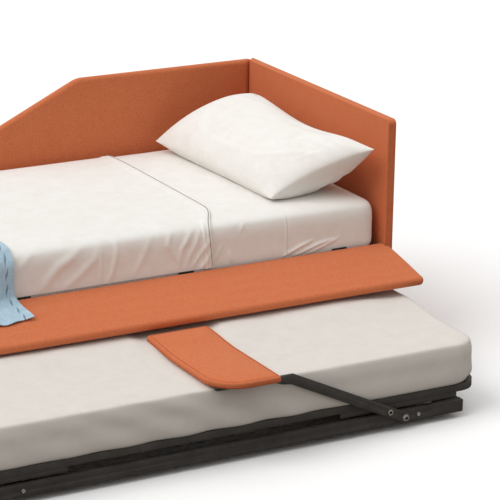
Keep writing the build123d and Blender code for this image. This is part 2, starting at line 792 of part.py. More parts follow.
with BuildPart() as trundle_mattress:
    with BuildSketch(Plane.XY.offset(trundle_bed_z)):
        with Locations(((x_trundle_head + x_trundle_foot) / 2, (y_trundle + y_trundle_back) / 2)):
            RectangleRounded(
                x_trundle_head - x_trundle_foot, trundle_mattress_width, trundle_corner_radius
            )
    extrude(amount=trundle_mattress_thickness)
    fillet(trundle_mattress.edges().group_by(Axis.Z)[-1], trundle_mattress_radius)
    fillet(trundle_mattress.edges().group_by(Axis.Z)[0], trundle_mattress_radius / 2)
finish(trundle_mattress, "trundle_mattress")

# --- folding headrest on its swinging arm ----------------------------------------------------------
x_headrest = (x_head - headrest_from_head - headrest_width, x_head - headrest_from_head)
flange_thickness = 3.0
flange_fit = 0.2
flange_x = (x_headrest[0] + 35.0, x_headrest[1] - 30.0)
flange_y = (y_arm - arm_thickness, y_arm - arm_thickness + 130.0)

with BuildPart() as headrest_panel:
    with BuildSketch(Plane.XY.offset(headrest_bottom)):
        with BuildLine():
            left, right = x_headrest
            Line((left, y_open + headrest_nose_radius), (left, y_headrest_back))
            Line((left, y_headrest_back), (right, y_headrest_back))
            Line((right, y_headrest_back), (right, y_open))
            Line((right, y_open), (left + headrest_nose_radius, y_open))
            RadiusArc(
                (left + headrest_nose_radius, y_open),
                (left, y_open + headrest_nose_radius),
                headrest_nose_radius,
            )
        make_face()
    extrude(amount=headrest_thickness)
    fillet(headrest_panel.edges().filter_by(Axis.Z), 8.0)
    fillet(headrest_panel.edges().group_by(Axis.Z)[-1], 6.0)
    box_between(
        (flange_x[0] - flange_fit, flange_y[0] - flange_fit, headrest_bottom - 1),
        (flange_x[1] + flange_fit, flange_y[1] + flange_fit, headrest_bottom + flange_thickness),
        mode=Mode.SUBTRACT,
    )
finish(headrest_panel, "headrest_panel")

with BuildPart() as headrest_arm:
    with BuildSketch(front_plane(y_arm)):
        slope_length = (
            (pivot_x - arm_bend_x) ** 2 + (arm_line_z - base_rail_middle) ** 2
        ) ** 0.5
        with Locations(((pivot_x + arm_bend_x) / 2, (arm_line_z + base_rail_middle) / 2)):
            SlotCenterToCenter(slope_length, arm_width, rotation=-degrees(arm_rise))
        with Locations(((arm_bend_x + arm_end_x) / 2, arm_line_z)):
            SlotCenterToCenter(arm_bend_x - arm_end_x, arm_width)
    extrude(amount=arm_thickness)
    box_between(
        (flange_x[0], flange_y[0], headrest_bottom),
        (flange_x[1], flange_y[1], headrest_bottom + flange_thickness),
    )
    arm_face = facing((pivot_x, y_arm, base_rail_middle), (0, -1, 0))
    disc(arm_face, pivot_radius + running_clearance, arm_thickness, mode=Mode.SUBTRACT)
    stop_face = facing((stop_x, y_arm, stop_z), (0, -1, 0))
    disc(stop_face, pivot_radius + 0.2, arm_thickness, mode=Mode.SUBTRACT)
finish(headrest_arm, "headrest_arm")

head_height = 5.0
washer_thickness = 1.2
with BuildPart() as headrest_pivot_bolt:
    front = facing((pivot_x, y_arm - arm_thickness - washer_thickness, base_rail_middle), (0, -1, 0))
    reach = arm_thickness + washer_thickness + arm_spacer + base_rail_width - base_wall
    disc(front, 9.0, head_height)
    disc(front, pivot_radius, -reach)
    disc(front.offset(2.0), 4.5, head_height, mode=Mode.SUBTRACT)
finish(headrest_pivot_bolt, "headrest_pivot_bolt")

with BuildPart() as headrest_pivot_washers:
    disc(front, 11.0, -washer_thickness + 0.1)
    disc(facing((pivot_x, y_rail, base_rail_middle), (0, -1, 0)), 13.0, arm_spacer - 0.1)
    disc(front, pivot_radius + running_clearance, -2 * arm_spacer - arm_thickness, mode=Mode.SUBTRACT)
finish(headrest_pivot_washers, "headrest_pivot_washers")

stop_sleeve_radius = stop_z - base_rail_top - 0.3
stop_reach = platform_behind_rail + arm_spacer - 1.0
with BuildPart() as headrest_stop:
    front_stop = facing((stop_x, y_arm - arm_thickness, stop_z), (0, -1, 0))
    disc(front_stop, 9.0, head_height)
    disc(front_stop, pivot_radius, -arm_thickness)
    disc(facing((stop_x, y_arm, stop_z), (0, 1, 0)), stop_sleeve_radius, stop_reach)
    disc(front_stop.offset(2.0), 4.5, head_height, mode=Mode.SUBTRACT)
finish(headrest_stop, "headrest_stop")
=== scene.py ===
"""A corner bed with a roll-out trundle: the visual model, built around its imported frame."""

from __future__ import annotations

import json
import logging
import math
from collections.abc import Callable, Sequence
from dataclasses import dataclass
from enum import Enum

import bmesh
import bpy
import numpy as np
from mathutils import Matrix, Quaternion, Vector
from mathutils.bvhtree import BVHTree

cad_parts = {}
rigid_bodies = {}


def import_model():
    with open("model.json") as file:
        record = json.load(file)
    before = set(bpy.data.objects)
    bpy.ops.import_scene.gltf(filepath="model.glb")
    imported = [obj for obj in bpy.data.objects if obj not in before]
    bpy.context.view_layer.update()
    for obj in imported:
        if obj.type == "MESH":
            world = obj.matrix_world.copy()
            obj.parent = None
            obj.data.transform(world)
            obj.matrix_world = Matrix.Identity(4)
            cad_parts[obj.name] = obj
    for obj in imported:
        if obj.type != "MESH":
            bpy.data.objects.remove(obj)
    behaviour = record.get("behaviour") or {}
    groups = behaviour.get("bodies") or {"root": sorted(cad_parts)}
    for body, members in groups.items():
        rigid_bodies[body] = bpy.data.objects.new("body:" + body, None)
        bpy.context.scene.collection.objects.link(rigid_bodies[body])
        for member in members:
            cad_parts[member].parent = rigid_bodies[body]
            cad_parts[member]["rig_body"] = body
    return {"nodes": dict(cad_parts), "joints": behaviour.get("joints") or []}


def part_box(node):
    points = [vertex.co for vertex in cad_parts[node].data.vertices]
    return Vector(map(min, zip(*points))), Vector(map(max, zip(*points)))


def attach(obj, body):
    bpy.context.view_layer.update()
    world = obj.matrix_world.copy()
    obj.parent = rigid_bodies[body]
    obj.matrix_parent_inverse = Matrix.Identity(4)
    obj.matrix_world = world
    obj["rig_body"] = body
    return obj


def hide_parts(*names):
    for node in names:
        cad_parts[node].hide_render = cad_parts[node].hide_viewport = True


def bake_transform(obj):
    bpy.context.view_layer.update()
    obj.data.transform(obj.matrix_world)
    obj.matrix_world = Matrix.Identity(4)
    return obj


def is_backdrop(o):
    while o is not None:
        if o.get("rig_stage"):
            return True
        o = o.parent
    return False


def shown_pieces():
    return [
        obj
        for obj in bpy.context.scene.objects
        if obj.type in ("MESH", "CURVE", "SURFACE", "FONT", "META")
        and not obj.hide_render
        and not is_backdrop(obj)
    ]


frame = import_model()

log = logging.getLogger("trundle_bed")
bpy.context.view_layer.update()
FLAP_HINGE = next(joint for joint in frame["joints"] if joint["name"] == "flap_hinge")["pos_m"]
FLAP_TILT = 12.5  # degrees that the flap hangs below level at rest

Point = tuple[float, float, float]
Face = bmesh.types.BMFace
Edge = bmesh.types.BMEdge


# --- colour and nodes -----------------------------------------------------------------


def linear(hex_colour: str) -> tuple[float, float, float, float]:
    """Turn an sRGB hex colour into linear RGBA.

    Args:
        hex_colour: six hex digits after a hash sign.

    Returns:
        The linear red, green and blue, and an alpha of 1.
    """
    values = [int(hex_colour[i : i + 2], 16) / 255 for i in (1, 3, 5)]
    red, green, blue = (
        v / 12.92 if v <= 0.04045 else ((v + 0.055) / 1.055) ** 2.4 for v in values
    )
    return red, green, blue, 1.0


def feed(tree: bpy.types.NodeTree, made: bpy.types.Node, inputs: dict[str | int, object]) -> None:
    """Set or link a node's inputs.

    Args:
        tree: the node tree.
        made: the node.
        inputs: a value, an output socket, or a node whose first output is meant, for each
            input by name or number.
    """
    for name, value in inputs.items():
        if isinstance(value, bpy.types.Node):
            value = next(socket_shade for socket_shade in value.outputs if socket_shade.enabled)
        if isinstance(value, bpy.types.NodeSocket):
            tree.links.new(value, made.inputs[name])
        else:
            made.inputs[name].default_value = value


def node(
    tree: bpy.types.NodeTree,
    kind: str,
    settings: dict[str, object] | None = None,
    inputs: dict[str | int, object] | None = None,
    stops: Sequence[tuple[float, str]] = (),
) -> bpy.types.Node:
    """Add a node with its settings, and set or link its inputs.

    Args:
        tree: the node tree that gets the node.
        kind: the node's type name.
        settings: the node's own properties.
        inputs: what each input is set or linked to.
        stops: a colour ramp's pairs of position and sRGB hex colour.

    Returns:
        The new node.
    """
    made = tree.nodes.new(kind)
    for name, value in (settings or {}).items():
        setattr(made, name, value)
    feed(tree, made, inputs or {})
    if stops:
        elements = made.color_ramp.elements
        while len(elements) < len(stops):
            elements.new(0.5)
        for element, (position, colour) in zip(elements, stops):
            element.position, element.color = position, linear(colour)
    return made


# --- finishes -------------------------------------------------------------------------


class Slot(Enum):
    """The record's material slots."""

    UPHOLSTERY = "upholstery"
    SHEET = "sheet"
    THROW = "throw_cotton"
    STEEL = "frame_steel"
    ZINC = "zinc_steel"
    WOOD = "slat_wood"
    PLASTIC = "black_plastic"
    RUBBER = "tyre_rubber"


@dataclass(frozen=True)
class Finish:
    """A finish: its slot, its colours, how rough it is and how its pattern is stretched."""

    name: str
    slot: Slot
    base: str
    light: str
    dark: str
    roughness: float
    stretch: Point = (1.0, 1.0, 1.0)

    def make(self) -> bpy.types.Material:
        """Build the material.

        Returns:
            The material, drawn in the piece's own coordinates in metres.
        """
        material = bpy.data.materials.new(self.name)
        material.use_nodes = True
        tree = material.node_tree
        place = node(tree, "ShaderNodeTexCoord").outputs["Object"]
        where = node(tree, "ShaderNodeMapping", inputs={"Vector": place, "Scale": self.stretch})
        feed(
            tree, tree.nodes["Principled BSDF"],
            {"Roughness": self.roughness} | self.draw(tree, where),
        )
        return material

    def draw(self, tree: bpy.types.NodeTree, where: bpy.types.Node) -> dict[str | int, object]:
        """Add the finish's own nodes.

        Args:
            tree: the material's node tree.
            where: the stretched coordinates.

        Returns:
            What each of the shader's inputs is set or linked to.
        """
        raise NotImplementedError

    def tint(
        self, tree: bpy.types.NodeTree, tone: bpy.types.Node, places: Sequence[float]
    ) -> bpy.types.Node:
        """Turn a tone into colour, from dark through base to light.

        Args:
            tree: the material's node tree.
            tone: the node that gives the tone.
            places: the tones of the three colours.

        Returns:
            The colour ramp.
        """
        stops = tuple(zip(places, (self.dark, self.base, self.light)))
        return node(tree, "ShaderNodeValToRGB", inputs={"Fac": tone}, stops=stops)


@dataclass(frozen=True)
class WovenCloth(Finish):
    """Cloth with a plain weave: threads, a mottle from yarn to yarn, and a soft sheen.

    The thread spacing is the real one times a factor, where the real weave is too fine to show.
    """

    thread: float = 0.002
    weave_depth: float = 0.0003
    mottle: float = 0.012
    slub: float = 0.05
    sheen: float = 0.2
    sheen_tint: str = "#FFFFFF"
    coarse: float = 0.4
    fibre: float = 0.5
    cloud: float = 0.12

    def draw(self, tree: bpy.types.NodeTree, where: bpy.types.Node) -> dict[str | int, object]:
        """Weave three sets of threads, and mottle them with two sizes of noise."""
        bands = {
            "Vector": where, "Scale": 1 / (self.thread * 20), "Distortion": 1.2, "Detail": 1.0,
            "Detail Scale": 0.6,
        }
        threads = [
            node(tree, "ShaderNodeTexWave", {"bands_direction": axis}, bands).outputs["Fac"]
            for axis in "XYZ"
        ]
        both = node(tree, "ShaderNodeMath", {"operation": "ADD"}, {0: threads[0], 1: threads[1]})
        total = node(tree, "ShaderNodeMath", {"operation": "ADD"}, {0: both, 1: threads[2]})
        weave = node(tree, "ShaderNodeMath", {"operation": "MULTIPLY"}, {0: total, 1: 1 / 3})
        yarn, broad = (
            node(
                tree, "ShaderNodeTexNoise",
                inputs={"Vector": where, "Scale": 1 / size, "Detail": detail, "Roughness": harsh},
            )
            for size, detail, harsh in ((self.mottle, 6.0, 0.72), (self.slub, 3.0, 0.6))
        )
        fine = node(tree, "ShaderNodeMix", inputs={"Factor": self.coarse, "A": yarn, "B": weave})
        tone = node(tree, "ShaderNodeMix", inputs={"Factor": self.cloud, "A": fine, "B": broad})
        height = node(tree, "ShaderNodeMix", inputs={"Factor": self.fibre, "A": weave, "B": yarn})
        relief = {"Height": height, "Distance": self.weave_depth, "Strength": 0.8}
        return {
            "Base Color": self.tint(tree, tone, (0.3, 0.5, 0.7)),
            "Normal": node(tree, "ShaderNodeBump", inputs=relief),
            "Sheen Weight": self.sheen,
            "Sheen Roughness": 0.45,
            "Sheen Tint": linear(self.sheen_tint),
            "Specular IOR Level": 0.25,
        }


@dataclass(frozen=True)
class OpenWork(WovenCloth):
    """Woven cloth with a row of drawn-thread stitches inside one edge, placed by its UV map."""

    inside: float = 0.955
    half_width: float = 0.008
    pitch: float = 1 / 17
    lean: float = 2.0
    dash: float = 0.45
    strength: float = 0.75
    stitch: str = "#5E7788"

    def draw(self, tree: bpy.types.NodeTree, where: bpy.types.Node) -> dict[str | int, object]:
        """Draw the cloth, then its stitches."""
        skin = super().draw(tree, where)
        split = node(tree, "ShaderNodeSeparateXYZ", inputs={0: node(tree, "ShaderNodeUVMap")})
        across, down = split.outputs["X"], split.outputs["Y"]
        near = node(
            tree, "ShaderNodeMath", {"operation": "COMPARE"},
            {0: across, 1: self.inside, 2: self.half_width},
        )
        share: object = across
        for operation, others in (
            ("MULTIPLY_ADD", {1: self.lean, 2: down}),
            ("DIVIDE", {1: self.pitch}),
            ("FRACT", {}),
            ("LESS_THAN", {1: self.dash}),
            ("MULTIPLY", {1: near}),
            ("MULTIPLY", {1: self.strength}),
        ):
            share = node(tree, "ShaderNodeMath", {"operation": operation}, {0: share, **others})
        colours = {"Factor": share, "A": skin["Base Color"], "B": linear(self.stitch)}
        return skin | {"Base Color": node(tree, "ShaderNodeMix", {"data_type": "RGBA"}, colours)}


@dataclass(frozen=True)
class HardSkin(Finish):
    """A hard skin whose tone and roughness drift from patch to patch, over a fine grain."""

    patches: float = 40.0
    detail: float = 6.0
    harsh: float = 0.75
    places: Point = (0.3, 0.5, 0.75)
    worn: tuple[float, float] = (0.0, 0.0)
    grain: float = 0.0009
    grain_detail: float = 3.0
    depth: float = 0.00006
    metallic: float = 0.0

    def draw(self, tree: bpy.types.NodeTree, where: bpy.types.Node) -> dict[str | int, object]:
        """Drift the colour and the roughness, and raise the grain."""
        tone = node(
            tree, "ShaderNodeTexNoise",
            inputs={
                "Vector": where, "Scale": self.patches, "Detail": self.detail,
                "Roughness": self.harsh,
            },
        )
        grain = node(
            tree, "ShaderNodeTexNoise",
            inputs={"Vector": where, "Scale": 1 / self.grain, "Detail": self.grain_detail},
        )
        smoother, rougher = (self.roughness + change for change in self.worn)
        spread = {"Value": tone, "To Min": smoother, "To Max": rougher}
        relief = {"Height": grain, "Distance": self.depth, "Strength": 0.6}
        return {
            "Base Color": self.tint(tree, tone, self.places),
            "Roughness": node(tree, "ShaderNodeMapRange", inputs=spread),
            "Metallic": self.metallic,
        } | ({"Normal": node(tree, "ShaderNodeBump", inputs=relief)} if self.depth else {})


@dataclass(frozen=True)
class BeechPly(Finish):
    """Steam-bent beech plywood under clear lacquer: fine flecks along each slat."""

    stretch: Point = (1.0, 0.06, 1.0)

    def draw(self, tree: bpy.types.NodeTree, where: bpy.types.Node) -> dict[str | int, object]:
        """Mix fine flecks with a broader figure, under a coat."""
        grain, figure = (
            node(
                tree, "ShaderNodeTexNoise",
                inputs={
                    "Vector": where, "Scale": scale, "Detail": detail, "Roughness": harsh,
                    "Distortion": bent,
                },
            )
            for scale, detail, harsh, bent in ((320.0, 6.0, 0.65, 0.6), (38.0, 3.0, 0.5, 1.2))
        )
        tone = node(tree, "ShaderNodeMix", inputs={"Factor": 0.45, "A": grain, "B": figure})
        relief = {"Height": grain, "Distance": 0.0001, "Strength": 0.5}
        return {
            "Base Color": self.tint(tree, tone, (0.32, 0.5, 0.68)),
            "Normal": node(tree, "ShaderNodeBump", inputs=relief),
            "Coat Weight": 0.25,
            "Coat Roughness": 0.3,
        }


# Wool-blend upholstery cloth: a plain weave of about 1 mm yarns, drawn at 3 mm so that it shows,
# in orange yarns of two tones, with a short nap that catches light on upturned faces.
UPHOLSTERY = WovenCloth(
    "wool_blend_upholstery_woven", Slot.UPHOLSTERY, "#CD7249", "#D68056", "#BF6139", 0.9,
    thread=0.0018, weave_depth=0.0003, mottle=0.0045, slub=0.03, sheen=0.25, sheen_tint="#FFC9A0",
    coarse=0.08, fibre=0.8,
)
# The same cloth's binding, darker than the cloth: painted shade along the corded seams.
SHADED_PIPING = WovenCloth(
    "wool_blend_piping_painted_shade", Slot.UPHOLSTERY, "#B55C37", "#C26C48", "#9C4B28", 0.9,
    thread=0.0018, weave_depth=0.0002, mottle=0.005, slub=0.05, sheen=0.2, sheen_tint="#FFC9A0",
    coarse=0.08, fibre=0.8,
)
# Cotton percale: 0.3 mm threads that don't show, so the weave is a faint 1.5 mm grain on
# smooth cloth.
PERCALE = WovenCloth(
    "cotton_percale_bed_linen", Slot.SHEET, "#EDEBE6", "#F1F0EC", "#E8E5DF", 0.85,
    thread=0.0015, weave_depth=0.00004, mottle=0.05, slub=0.3, sheen=0.08, sheen_tint="#FFFFFF",
    coarse=0.05, fibre=0.3,
)
# The trundle's own fitted sheet: the same percale in a greyer, stone white, partly the sheet's own
# tone and partly painted shade for the dimmer light on the low trundle.
STONE_AND_SHADE_PERCALE = WovenCloth(
    "cotton_percale_stone_and_painted_shade", Slot.SHEET, "#DBD6CF", "#DFDAD4", "#D7D1CA", 0.85,
    thread=0.0015, weave_depth=0.00004, mottle=0.05, slub=0.3, sheen=0.06, sheen_tint="#FFFFFF",
    coarse=0.05, fibre=0.3,
)
# The taupe cord sewn along the top sheet's hem: partly the hem's stitching, partly painted shade
# for the shaded groove at the hem.
HEM_STITCH_AND_SHADE_CORD = WovenCloth(
    "cotton_cord_taupe_stitch_and_painted_shade", Slot.SHEET, "#9A8F82", "#A69B8E", "#8A7F72", 0.85,
    thread=0.0015, weave_depth=0.0001, mottle=0.01, slub=0.1, sheen=0.05, sheen_tint="#FFFFFF",
    coarse=0.1, fibre=0.3,
)
# Cotton gauze dyed pale blue: an open 1.5 mm weave, drawn at 2.5 mm, with uneven washed dye.
GAUZE = OpenWork(
    "cotton_gauze_pale_blue", Slot.THROW, "#ADC6D5", "#BBD0DC", "#9CB7C8", 0.92,
    thread=0.0022, weave_depth=0.0003, mottle=0.02, slub=0.12, sheen=0.15, sheen_tint="#E4F0F8",
    coarse=0.15, fibre=0.6,
)
# Anthracite epoxy powder coat: a fine satin orange-peel skin over welded tube, a little paler
# where it is handled.
STEEL = HardSkin(
    "powder_coat_anthracite", Slot.STEEL, "#464340", "#53504C", "#393633", 0.5,
    patches=14.0, detail=5.0, harsh=0.7, places=(0.3, 0.55, 0.8), worn=(-0.06, 0.1),
    grain=0.0012, grain_detail=2.0, depth=0.00008,
)
PLATING = {
    "patches": 160.0, "detail": 4.0, "harsh": 0.6, "worn": (-0.08, 0.12), "depth": 0.0,
    "metallic": 1.0,
}
# Zinc-plated fasteners, turned and pressed: bright, and clouded as plating is.
ZINC = HardSkin("zinc_plate_bright", Slot.ZINC, "#C9C9C6", "#E2E2E0", "#A9A9A6", 0.3, **PLATING)
# Near-black satin zinc plate, painted shade: the flap's hinges are kept as dark as the shaded gap
# that they sit in, and the bolt heads' hex sockets are drawn with it as the shade in their
# recesses.
SHADE_DARK_ZINC = HardSkin(
    "zinc_plate_black_passivated", Slot.ZINC, "#2C2B2A", "#383735", "#211F1E", 0.45, **PLATING
)
# Beech plywood slats under clear lacquer: warm, with fine flecks along the grain.
BEECH = BeechPly("beech_plywood_lacquered", Slot.WOOD, "#CFA878", "#DDBB90", "#B48A5A", 0.45)
# Black polypropylene caps, glides and slat holders, moulded with a spark-eroded grain.
PLASTIC = HardSkin(
    "polypropylene_black_moulded", Slot.PLASTIC, "#1C1C1D", "#29292A", "#131314", 0.55
)
# Grey-black thermoplastic rubber tread, matt, with the mould's grain and scuffs.
RUBBER = HardSkin(
    "rubber_tread_grey_black", Slot.RUBBER, "#3A3A3B", "#4A4A4B", "#2B2B2C", 0.8, depth=0.0001
)

MATERIALS = {
    finish.name: finish.make()
    for finish in (
        UPHOLSTERY, SHADED_PIPING, PERCALE, STONE_AND_SHADE_PERCALE, HEM_STITCH_AND_SHADE_CORD, GAUZE, STEEL, ZINC, SHADE_DARK_ZINC,
        BEECH, PLASTIC, RUBBER,
    )
}


# --- working on meshes ----------------------------------------------------------------


def only(piece: bpy.types.Object) -> None:
    """Deselect everything, then select a piece and make it active."""
    if bpy.context.mode != "OBJECT":
        bpy.ops.object.mode_set(mode="OBJECT")
    bpy.ops.object.select_all(action="DESELECT")
    piece.select_set(True)
    bpy.context.view_layer.objects.active = piece


def linked(name: str, data: bpy.types.ID) -> bpy.types.Object:
    """Make an object of some data and put it in the scene.

    Args:
        name: the object's name.
        data: its mesh, curve, light or camera.

    Returns:
        The new object.
    """
    made = bpy.data.objects.new(name, data)
    bpy.context.scene.collection.objects.link(made)
    return made


def primitive(add: Callable[..., object], name: str, **settings: object) -> bpy.types.Object:
    """Add a primitive, with its place and size in its mesh.

    Args:
        add: the operator that adds it.
        name: the piece's name.
        settings: the operator's settings.

    Returns:
        The new object.
    """
    bpy.ops.object.select_all(action="DESELECT")
    add(**settings)
    piece = bpy.context.view_layer.objects.active
    piece.name = piece.data.name = name
    bpy.ops.object.transform_apply(location=True, rotation=True, scale=True)
    return piece


def block(name: str, low: Sequence[float], high: Sequence[float]) -> bpy.types.Object:
    """Add a cube primitive that fills the box from low to high.

    Args:
        name: the piece's name.
        low: the lowest corner.
        high: the highest corner.

    Returns:
        The new object.
    """
    return primitive(
        bpy.ops.mesh.primitive_cube_add, name, size=1.0,
        location=[(a + b) / 2 for a, b in zip(low, high)],
        scale=[b - a for a, b in zip(low, high)],
    )


def pick(
    piece: bpy.types.Object,
    faces: Callable[[Face], bool] | None = None,
    edges: Callable[[Edge], bool] | None = None,
) -> None:
    """Enter edit mode and select the faces or edges that pass a test, or all faces.

    Args:
        piece: the mesh object.
        faces: a test for faces.
        edges: a test for edges, used instead of faces.
    """
    only(piece)
    bpy.ops.object.mode_set(mode="EDIT")
    bpy.ops.mesh.select_mode(type="EDGE" if edges else "FACE")
    bpy.ops.mesh.select_all(action="DESELECT")
    mesh = bmesh.from_edit_mesh(piece.data)
    mesh.normal_update()
    for item in mesh.edges if edges else mesh.faces:
        if edges(item) if edges else faces is None or faces(item):
            item.select_set(True)
    bmesh.update_edit_mesh(piece.data)


def done() -> None:
    """Leave edit mode."""
    bpy.ops.object.mode_set(mode="OBJECT")


def middle(edge: Edge) -> Vector:
    """The middle of an edge."""
    return (edge.verts[0].co + edge.verts[1].co) / 2


def along(edge: Edge) -> Vector:
    """The direction of an edge."""
    return (edge.verts[1].co - edge.verts[0].co).normalized()


def turns_corner(edge: Edge, degrees: float) -> bool:
    """Whether an edge's two faces turn away from each other by more than an angle."""
    if len(edge.link_faces) != 2:
        return False
    one, other = edge.link_faces
    return one.normal.angle(other.normal) > math.radians(degrees)


def round_edges(
    piece: bpy.types.Object,
    edges: Callable[[Edge], bool],
    radius: float,
    segments: int,
    clamp: bool = False,
) -> None:
    """Bevel the edges that pass a test.

    Args:
        piece: the mesh object.
        edges: the test.
        radius: how far each edge is rounded.
        segments: faces across a rounded edge.
        clamp: whether to stop where two bevels meet.
    """
    pick(piece, edges=edges)
    bpy.ops.mesh.bevel(offset=radius, segments=segments, profile=0.5, clamp_overlap=clamp)
    done()


def bisect(
    piece: bpy.types.Object, point: Sequence[float], normal: Sequence[float], **settings: bool
) -> None:
    """Cut a piece with a plane, which adds an edge loop and keeps both sides unless told not to.

    Args:
        piece: the mesh object.
        point: a point on the plane.
        normal: the plane's normal.
        settings: whether the normal's side is cleared, and whether the cut is filled.
    """
    pick(piece)
    bpy.ops.mesh.bisect(plane_co=point, plane_no=normal, **settings)
    done()


def face_outwards(piece: bpy.types.Object, merge: float = 0.0) -> None:
    """Turn a mesh's faces outwards, with points closer than a distance merged first."""
    pick(piece)
    if merge:
        bpy.ops.mesh.remove_doubles(threshold=merge)
    bpy.ops.mesh.normals_make_consistent(inside=False)
    done()


def modify(piece: bpy.types.Object, kind: str, **settings: object) -> None:
    """Add a modifier with its settings and apply it."""
    only(piece)
    made = piece.modifiers.new(kind.title(), kind)
    for name, value in settings.items():
        setattr(made, name, value)
    bpy.ops.object.modifier_apply(modifier=made.name)


def points(piece: bpy.types.Object, what: str = "co") -> np.ndarray:
    """A mesh's vertex positions, or with "normal" its vertex normals, one row each."""
    flat = np.empty(len(piece.data.vertices) * 3)
    piece.data.vertices.foreach_get(what, flat)
    return flat.reshape(-1, 3)


def move_points(piece: bpy.types.Object, where: np.ndarray) -> None:
    """Put a mesh's vertices at new positions."""
    piece.data.vertices.foreach_set("co", where.astype(np.float32).ravel())
    piece.data.update()


def step(value: np.ndarray, low: float, high: float) -> np.ndarray:
    """A smooth step from 0 at low to 1 at high."""
    share = np.clip((value - low) / (high - low), 0, 1)
    return share * share * (3 - 2 * share)


def ridge(value: np.ndarray, centre: float | np.ndarray, half: float) -> np.ndarray:
    """A smooth ridge, 1 high at a centre and faded out a little past its half width."""
    return np.exp(-(((value - centre) / half) ** 2))


def settle(
    piece: bpy.types.Object,
    finish: Finish,
    body: str | None,
    stands_for: str | None = None,
    angle: float | None = None,
) -> None:
    """Finish a piece: its shading, its material, its body and what it stands for.

    Args:
        piece: the piece.
        finish: its finish.
        body: the body that it rides on, or None where it is attached to none.
        stands_for: the CAD node that it replaces.
        angle: it is shaded smooth, but for edges sharper than this, in degrees.
    """
    if angle is not None:
        only(piece)
        bpy.ops.object.shade_smooth_by_angle(angle=math.radians(angle))
    piece.data.materials.clear()
    piece.data.materials.append(MATERIALS[finish.name])
    if body:
        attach(piece, body)
    if stands_for:
        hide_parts(stands_for)


def sewn_cord(
    name: str, places: Sequence[Point], radius: float, closed: bool, finish: Finish, body: str
) -> None:
    """Lay a round cord through some places.

    Args:
        name: the cord's name.
        places: points along its middle.
        radius: its radius.
        closed: whether it runs round in a loop.
        finish: its finish.
        body: the body that it rides on.
    """
    curve = bpy.data.curves.new(name, "CURVE")
    curve.dimensions = "3D"
    curve.bevel_depth, curve.bevel_resolution = radius, 2
    curve.use_fill_caps = not closed
    spline = curve.splines.new("POLY")
    spline.points.add(len(places) - 1)
    for point, place in zip(spline.points, places):
        point.co = (*place, 1.0)
    spline.use_cyclic_u = closed
    only(linked(name, curve))
    bpy.ops.object.convert(target="MESH")
    settle(bpy.context.view_layer.objects.active, finish, body, angle=60)


def eased_copy(source: str, name: str, finish: Finish, radius: float, segments: int) -> None:
    """Copy a CAD node's mesh, clean it, and round its sharp edges as real edges are.

    Args:
        source: the CAD node that the copy stands for.
        name: the new piece's name.
        finish: its finish.
        radius: how far the edges are rounded.
        segments: faces across a rounded edge.
    """
    original = frame["nodes"][source]
    piece = linked(name, original.data.copy())
    pick(piece)
    bpy.ops.mesh.remove_doubles(threshold=0.00002)
    bpy.ops.mesh.dissolve_limited(angle_limit=math.radians(1.0))
    done()
    if radius:
        modify(
            piece, "BEVEL", width=radius, segments=segments, limit_method="ANGLE",
            angle_limit=math.radians(40), use_clamp_overlap=True, harden_normals=False,
        )
    settle(piece, finish, original["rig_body"], source, angle=35)


def puff(
    piece: bpy.types.Object,
    held: Callable[[np.ndarray], np.ndarray],
    voxel: float = 0.02,
    pressure: float = 3.0,
    cap: float = 0.007,
    tension: float = 12.0,
    frames: int = 20,
) -> None:
    """Swell a closed piece as its filling does, with cloth under pressure.

    Args:
        piece: the closed mesh.
        held: gives a share from 0 to 1 by which each point may move.
        voxel: the size of the new mesh's faces.
        pressure: the cloth's pressure.
        cap: the furthest that a point may move.
        tension: the cloth's stiffness.
        frames: how long it swells.
    """
    modify(piece, "REMESH", mode="VOXEL", voxel_size=voxel, use_smooth_shade=True)
    start = points(piece)
    cloth = piece.modifiers.new("Cloth", "CLOTH")
    settings = cloth.settings
    settings.quality = 4
    settings.use_pressure = True
    settings.uniform_pressure_force = pressure
    settings.tension_stiffness = settings.compression_stiffness = tension
    settings.shear_stiffness = tension / 3
    settings.bending_stiffness = 0.5
    settings.effector_weights.gravity = 0.0
    cloth.point_cache.frame_start, cloth.point_cache.frame_end = 1, frames
    for number in range(1, frames + 1):
        bpy.context.scene.frame_set(number)
    swollen = points(piece.evaluated_get(bpy.context.evaluated_depsgraph_get()))
    piece.modifiers.remove(cloth)
    bpy.context.scene.frame_set(1)
    moved = swollen - start
    length = np.linalg.norm(moved, axis=1, keepdims=True)
    moved *= np.minimum(1.0, cap / np.maximum(length, 1e-9))
    moved *= held(start)[:, None]
    move_points(piece, start + moved)
    modify(piece, "SUBSURF", levels=1, render_levels=1)


# --- upholstered panels ---------------------------------------------------------------


